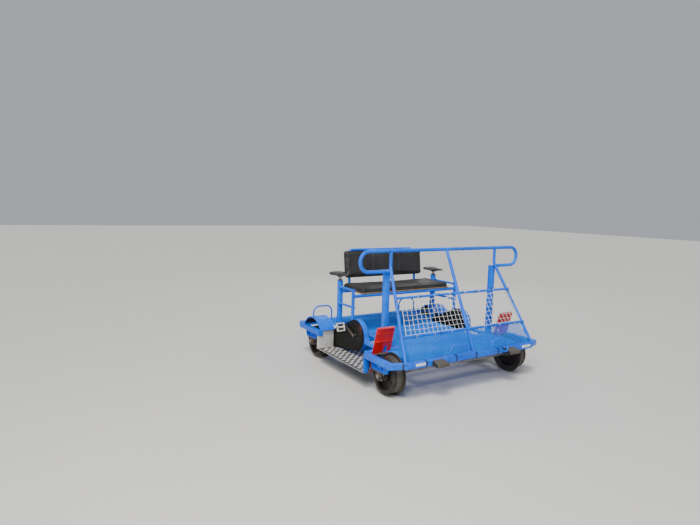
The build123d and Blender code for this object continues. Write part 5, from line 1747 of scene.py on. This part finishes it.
for side, s in SIDES:
    nu, nw = 40, 28
    verts, faces = [], []
    for i in range(nu + 1):
        for j in range(nw + 1):
            x, y, z = saddle_shape(i / nu, -1 + 2 * j / nw)
            verts.append((H + x, s * 612 + y, RT + 842 + z))
    for i in range(nu):
        for j in range(nw):
            a = i * (nw + 1) + j
            faces.append((a, a + 1, a + nw + 2, a + nw + 1))
    rim_n = nw + 1
    # underside: the same grid, pulled in and up a little under the top
    off = len(verts)
    for i in range(nu + 1):
        x0_, y0_, z0_ = saddle_shape(i / nu, -1)
        for j in range(nw + 1):
            x, y, z = saddle_shape(i / nu, -1 + 2 * j / nw)
            w = 1 - abs(-1 + 2 * j / nw)
            verts.append((H + x * 1.0 + (1.5 if i == 0 else 0) - (1.5 if i == nu else 0), s * 612 + y * 0.985,
                          RT + 842 + z0_ - 1.2 + min(w * 9, (z - z0_) * 0.55)))
    for i in range(nu):
        for j in range(nw):
            a = off + i * (nw + 1) + j
            faces.append((a, a + nw + 1, a + nw + 2, a + 1))
    for i in range(nu):
        for j in (0, nw):
            a, b = i * (nw + 1) + j, (i + 1) * (nw + 1) + j
            q = (a, b, b + off, a + off)
            faces.append(q if j == 0 else tuple(reversed(q)))
    for j in range(nw):
        for i in (0, nu):
            a, b = i * (nw + 1) + j, i * (nw + 1) + j + 1
            q = (a + off, b + off, b, a)
            faces.append(q if i == 0 else tuple(reversed(q)))
    m = Mesh()
    m.add(verts, faces, 0)
    ob = m.to(f"saddle_{side}_pad", CH, [VINYL], (), angle=60)
    bm = bmesh.new()
    bm.from_mesh(ob.data)
    bmesh.ops.remove_doubles(bm, verts=bm.verts, dist=0.00002)
    bmesh.ops.recalc_face_normals(bm, faces=bm.faces)
    for _ in range(2):
        bmesh.ops.smooth_vert(bm, verts=bm.verts, factor=0.4, use_axis_x=True, use_axis_y=True, use_axis_z=True)
    bm.to_mesh(ob.data)
    bm.free()
    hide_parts("saddles")
    m = Mesh()
    # seam cord round the rim and one along each flank
    for w, r in ((-0.97, 1.7), (0.97, 1.7), (-0.56, 1.0), (0.56, 1.0)):
        line = [(H + x, s * 612 + y, RT + 842 + z + 0.3) for x, y, z in (saddle_shape(0.02 + 0.955 * k / 34, w) for k in range(35))]
        v, f = sweep(line, circle(r, 6))
        m.add(v, f, 0)
    for e in (-1, 1):
        tube(m, [(H - 962, s * 612 + e * 34, RT + 842 + 21), (H - 940, s * 612 + e * 24, RT + 842 + 5), (H - 850, s * 612 + e * 20, RT + 842 + 4.4),
                 (H - 780, s * 612 + e * 9, RT + 842 + 21)], 3.4, 14, 10, mat=1)
    for e in (-1, 1):
        turned(m, [(0, -13), (6, -13), (7, -12), (7, 12), (6, 13), (0, 13)], (H - 880, s * 612 + e * 21, RT + 842 + 4), (1, 0, 0), 2, 14)
    m.to(f"saddle_{side}_fittings", CH, [PIPING, STEEL, DARK], ())

# ---------------------------------------------------------------- camera, light, floor
cam = bpy.data.cameras.new("camera")
cam.lens = 26.35
cam.sensor_width = 36.0
cam.clip_end = 60.0
cam_ob = bpy.data.objects.new("camera", cam)
bpy.context.scene.collection.objects.link(cam_ob)
yaw, pitch, roll = radians(148.59), radians(6.39), radians(1.5)
d = V((cos(yaw) * cos(pitch), sin(yaw) * cos(pitch), -sin(pitch)))
r0 = V((sin(yaw), -cos(yaw), 0))
u0 = r0.cross(d)
right = r0 * cos(roll) + u0 * sin(roll)
up_ = -r0 * sin(roll) + u0 * cos(roll)
rot = Matrix(((right.x, up_.x, -d.x), (right.y, up_.y, -d.y), (right.z, up_.z, -d.z)))
cam_ob.matrix_world = Matrix.Translation(V((3.968, -3.210, 1.586))) @ rot.to_4x4()
bpy.context.scene.camera = cam_ob

floor_mesh = bpy.data.meshes.new("floor")
floor_mesh.from_pydata([(-30, -30, 0), (30, -30, 0), (30, 30, 0), (-30, 30, 0)], [], [(0, 1, 2, 3)])
floor = bpy.data.objects.new("floor", floor_mesh)
bpy.context.scene.collection.objects.link(floor)
ft = Tree("pale_floor")
floor_mesh.materials.append(ft.set(color=ft.mix(ft.noise(1.5, 3, 0.5), (0.60, 0.59, 0.57), (0.64, 0.63, 0.61)), rough=0.9))


def area_light(name, pos, target, size, power, color=(1, 1, 1)):
    li = bpy.data.lights.new(name, "AREA")
    li.shape = "RECTANGLE"
    li.size, li.size_y = size
    li.energy = power
    li.color = color
    ob = bpy.data.objects.new(name, li)
    ob.location = pos
    ob.rotation_mode = "QUATERNION"
    ob.rotation_quaternion = (V(target) - V(pos)).to_track_quat("-Z", "Y")
    bpy.context.scene.collection.objects.link(ob)


sun = bpy.data.lights.new("sun", "SUN")
sun.energy = 2.7
sun.angle = 0.30
sun.color = (1.0, 0.975, 0.94)
sun_ob = bpy.data.objects.new("sun", sun)
sun_ob.rotation_mode = "QUATERNION"
sun_ob.rotation_quaternion = V((-0.42, 0.50, -1.15)).to_track_quat("-Z", "Y")
bpy.context.scene.collection.objects.link(sun_ob)
area_light("key", (3.4, -3.6, 3.6), (0.2, 0, 0.5), (2.0, 1.6), 165, (1.0, 0.98, 0.95))
area_light("back", (-4.0, 3.0, 3.4), (0, 0, 0.6), (2.5, 2.5), 40, (0.94, 0.97, 1.0))
world = bpy.data.worlds.new("world")
world.use_nodes = True
world.node_tree.nodes["Background"].inputs[0].default_value = (0.84, 0.88, 0.94, 1)
world.node_tree.nodes["Background"].inputs[1].default_value = 0.50
bpy.context.scene.world = world
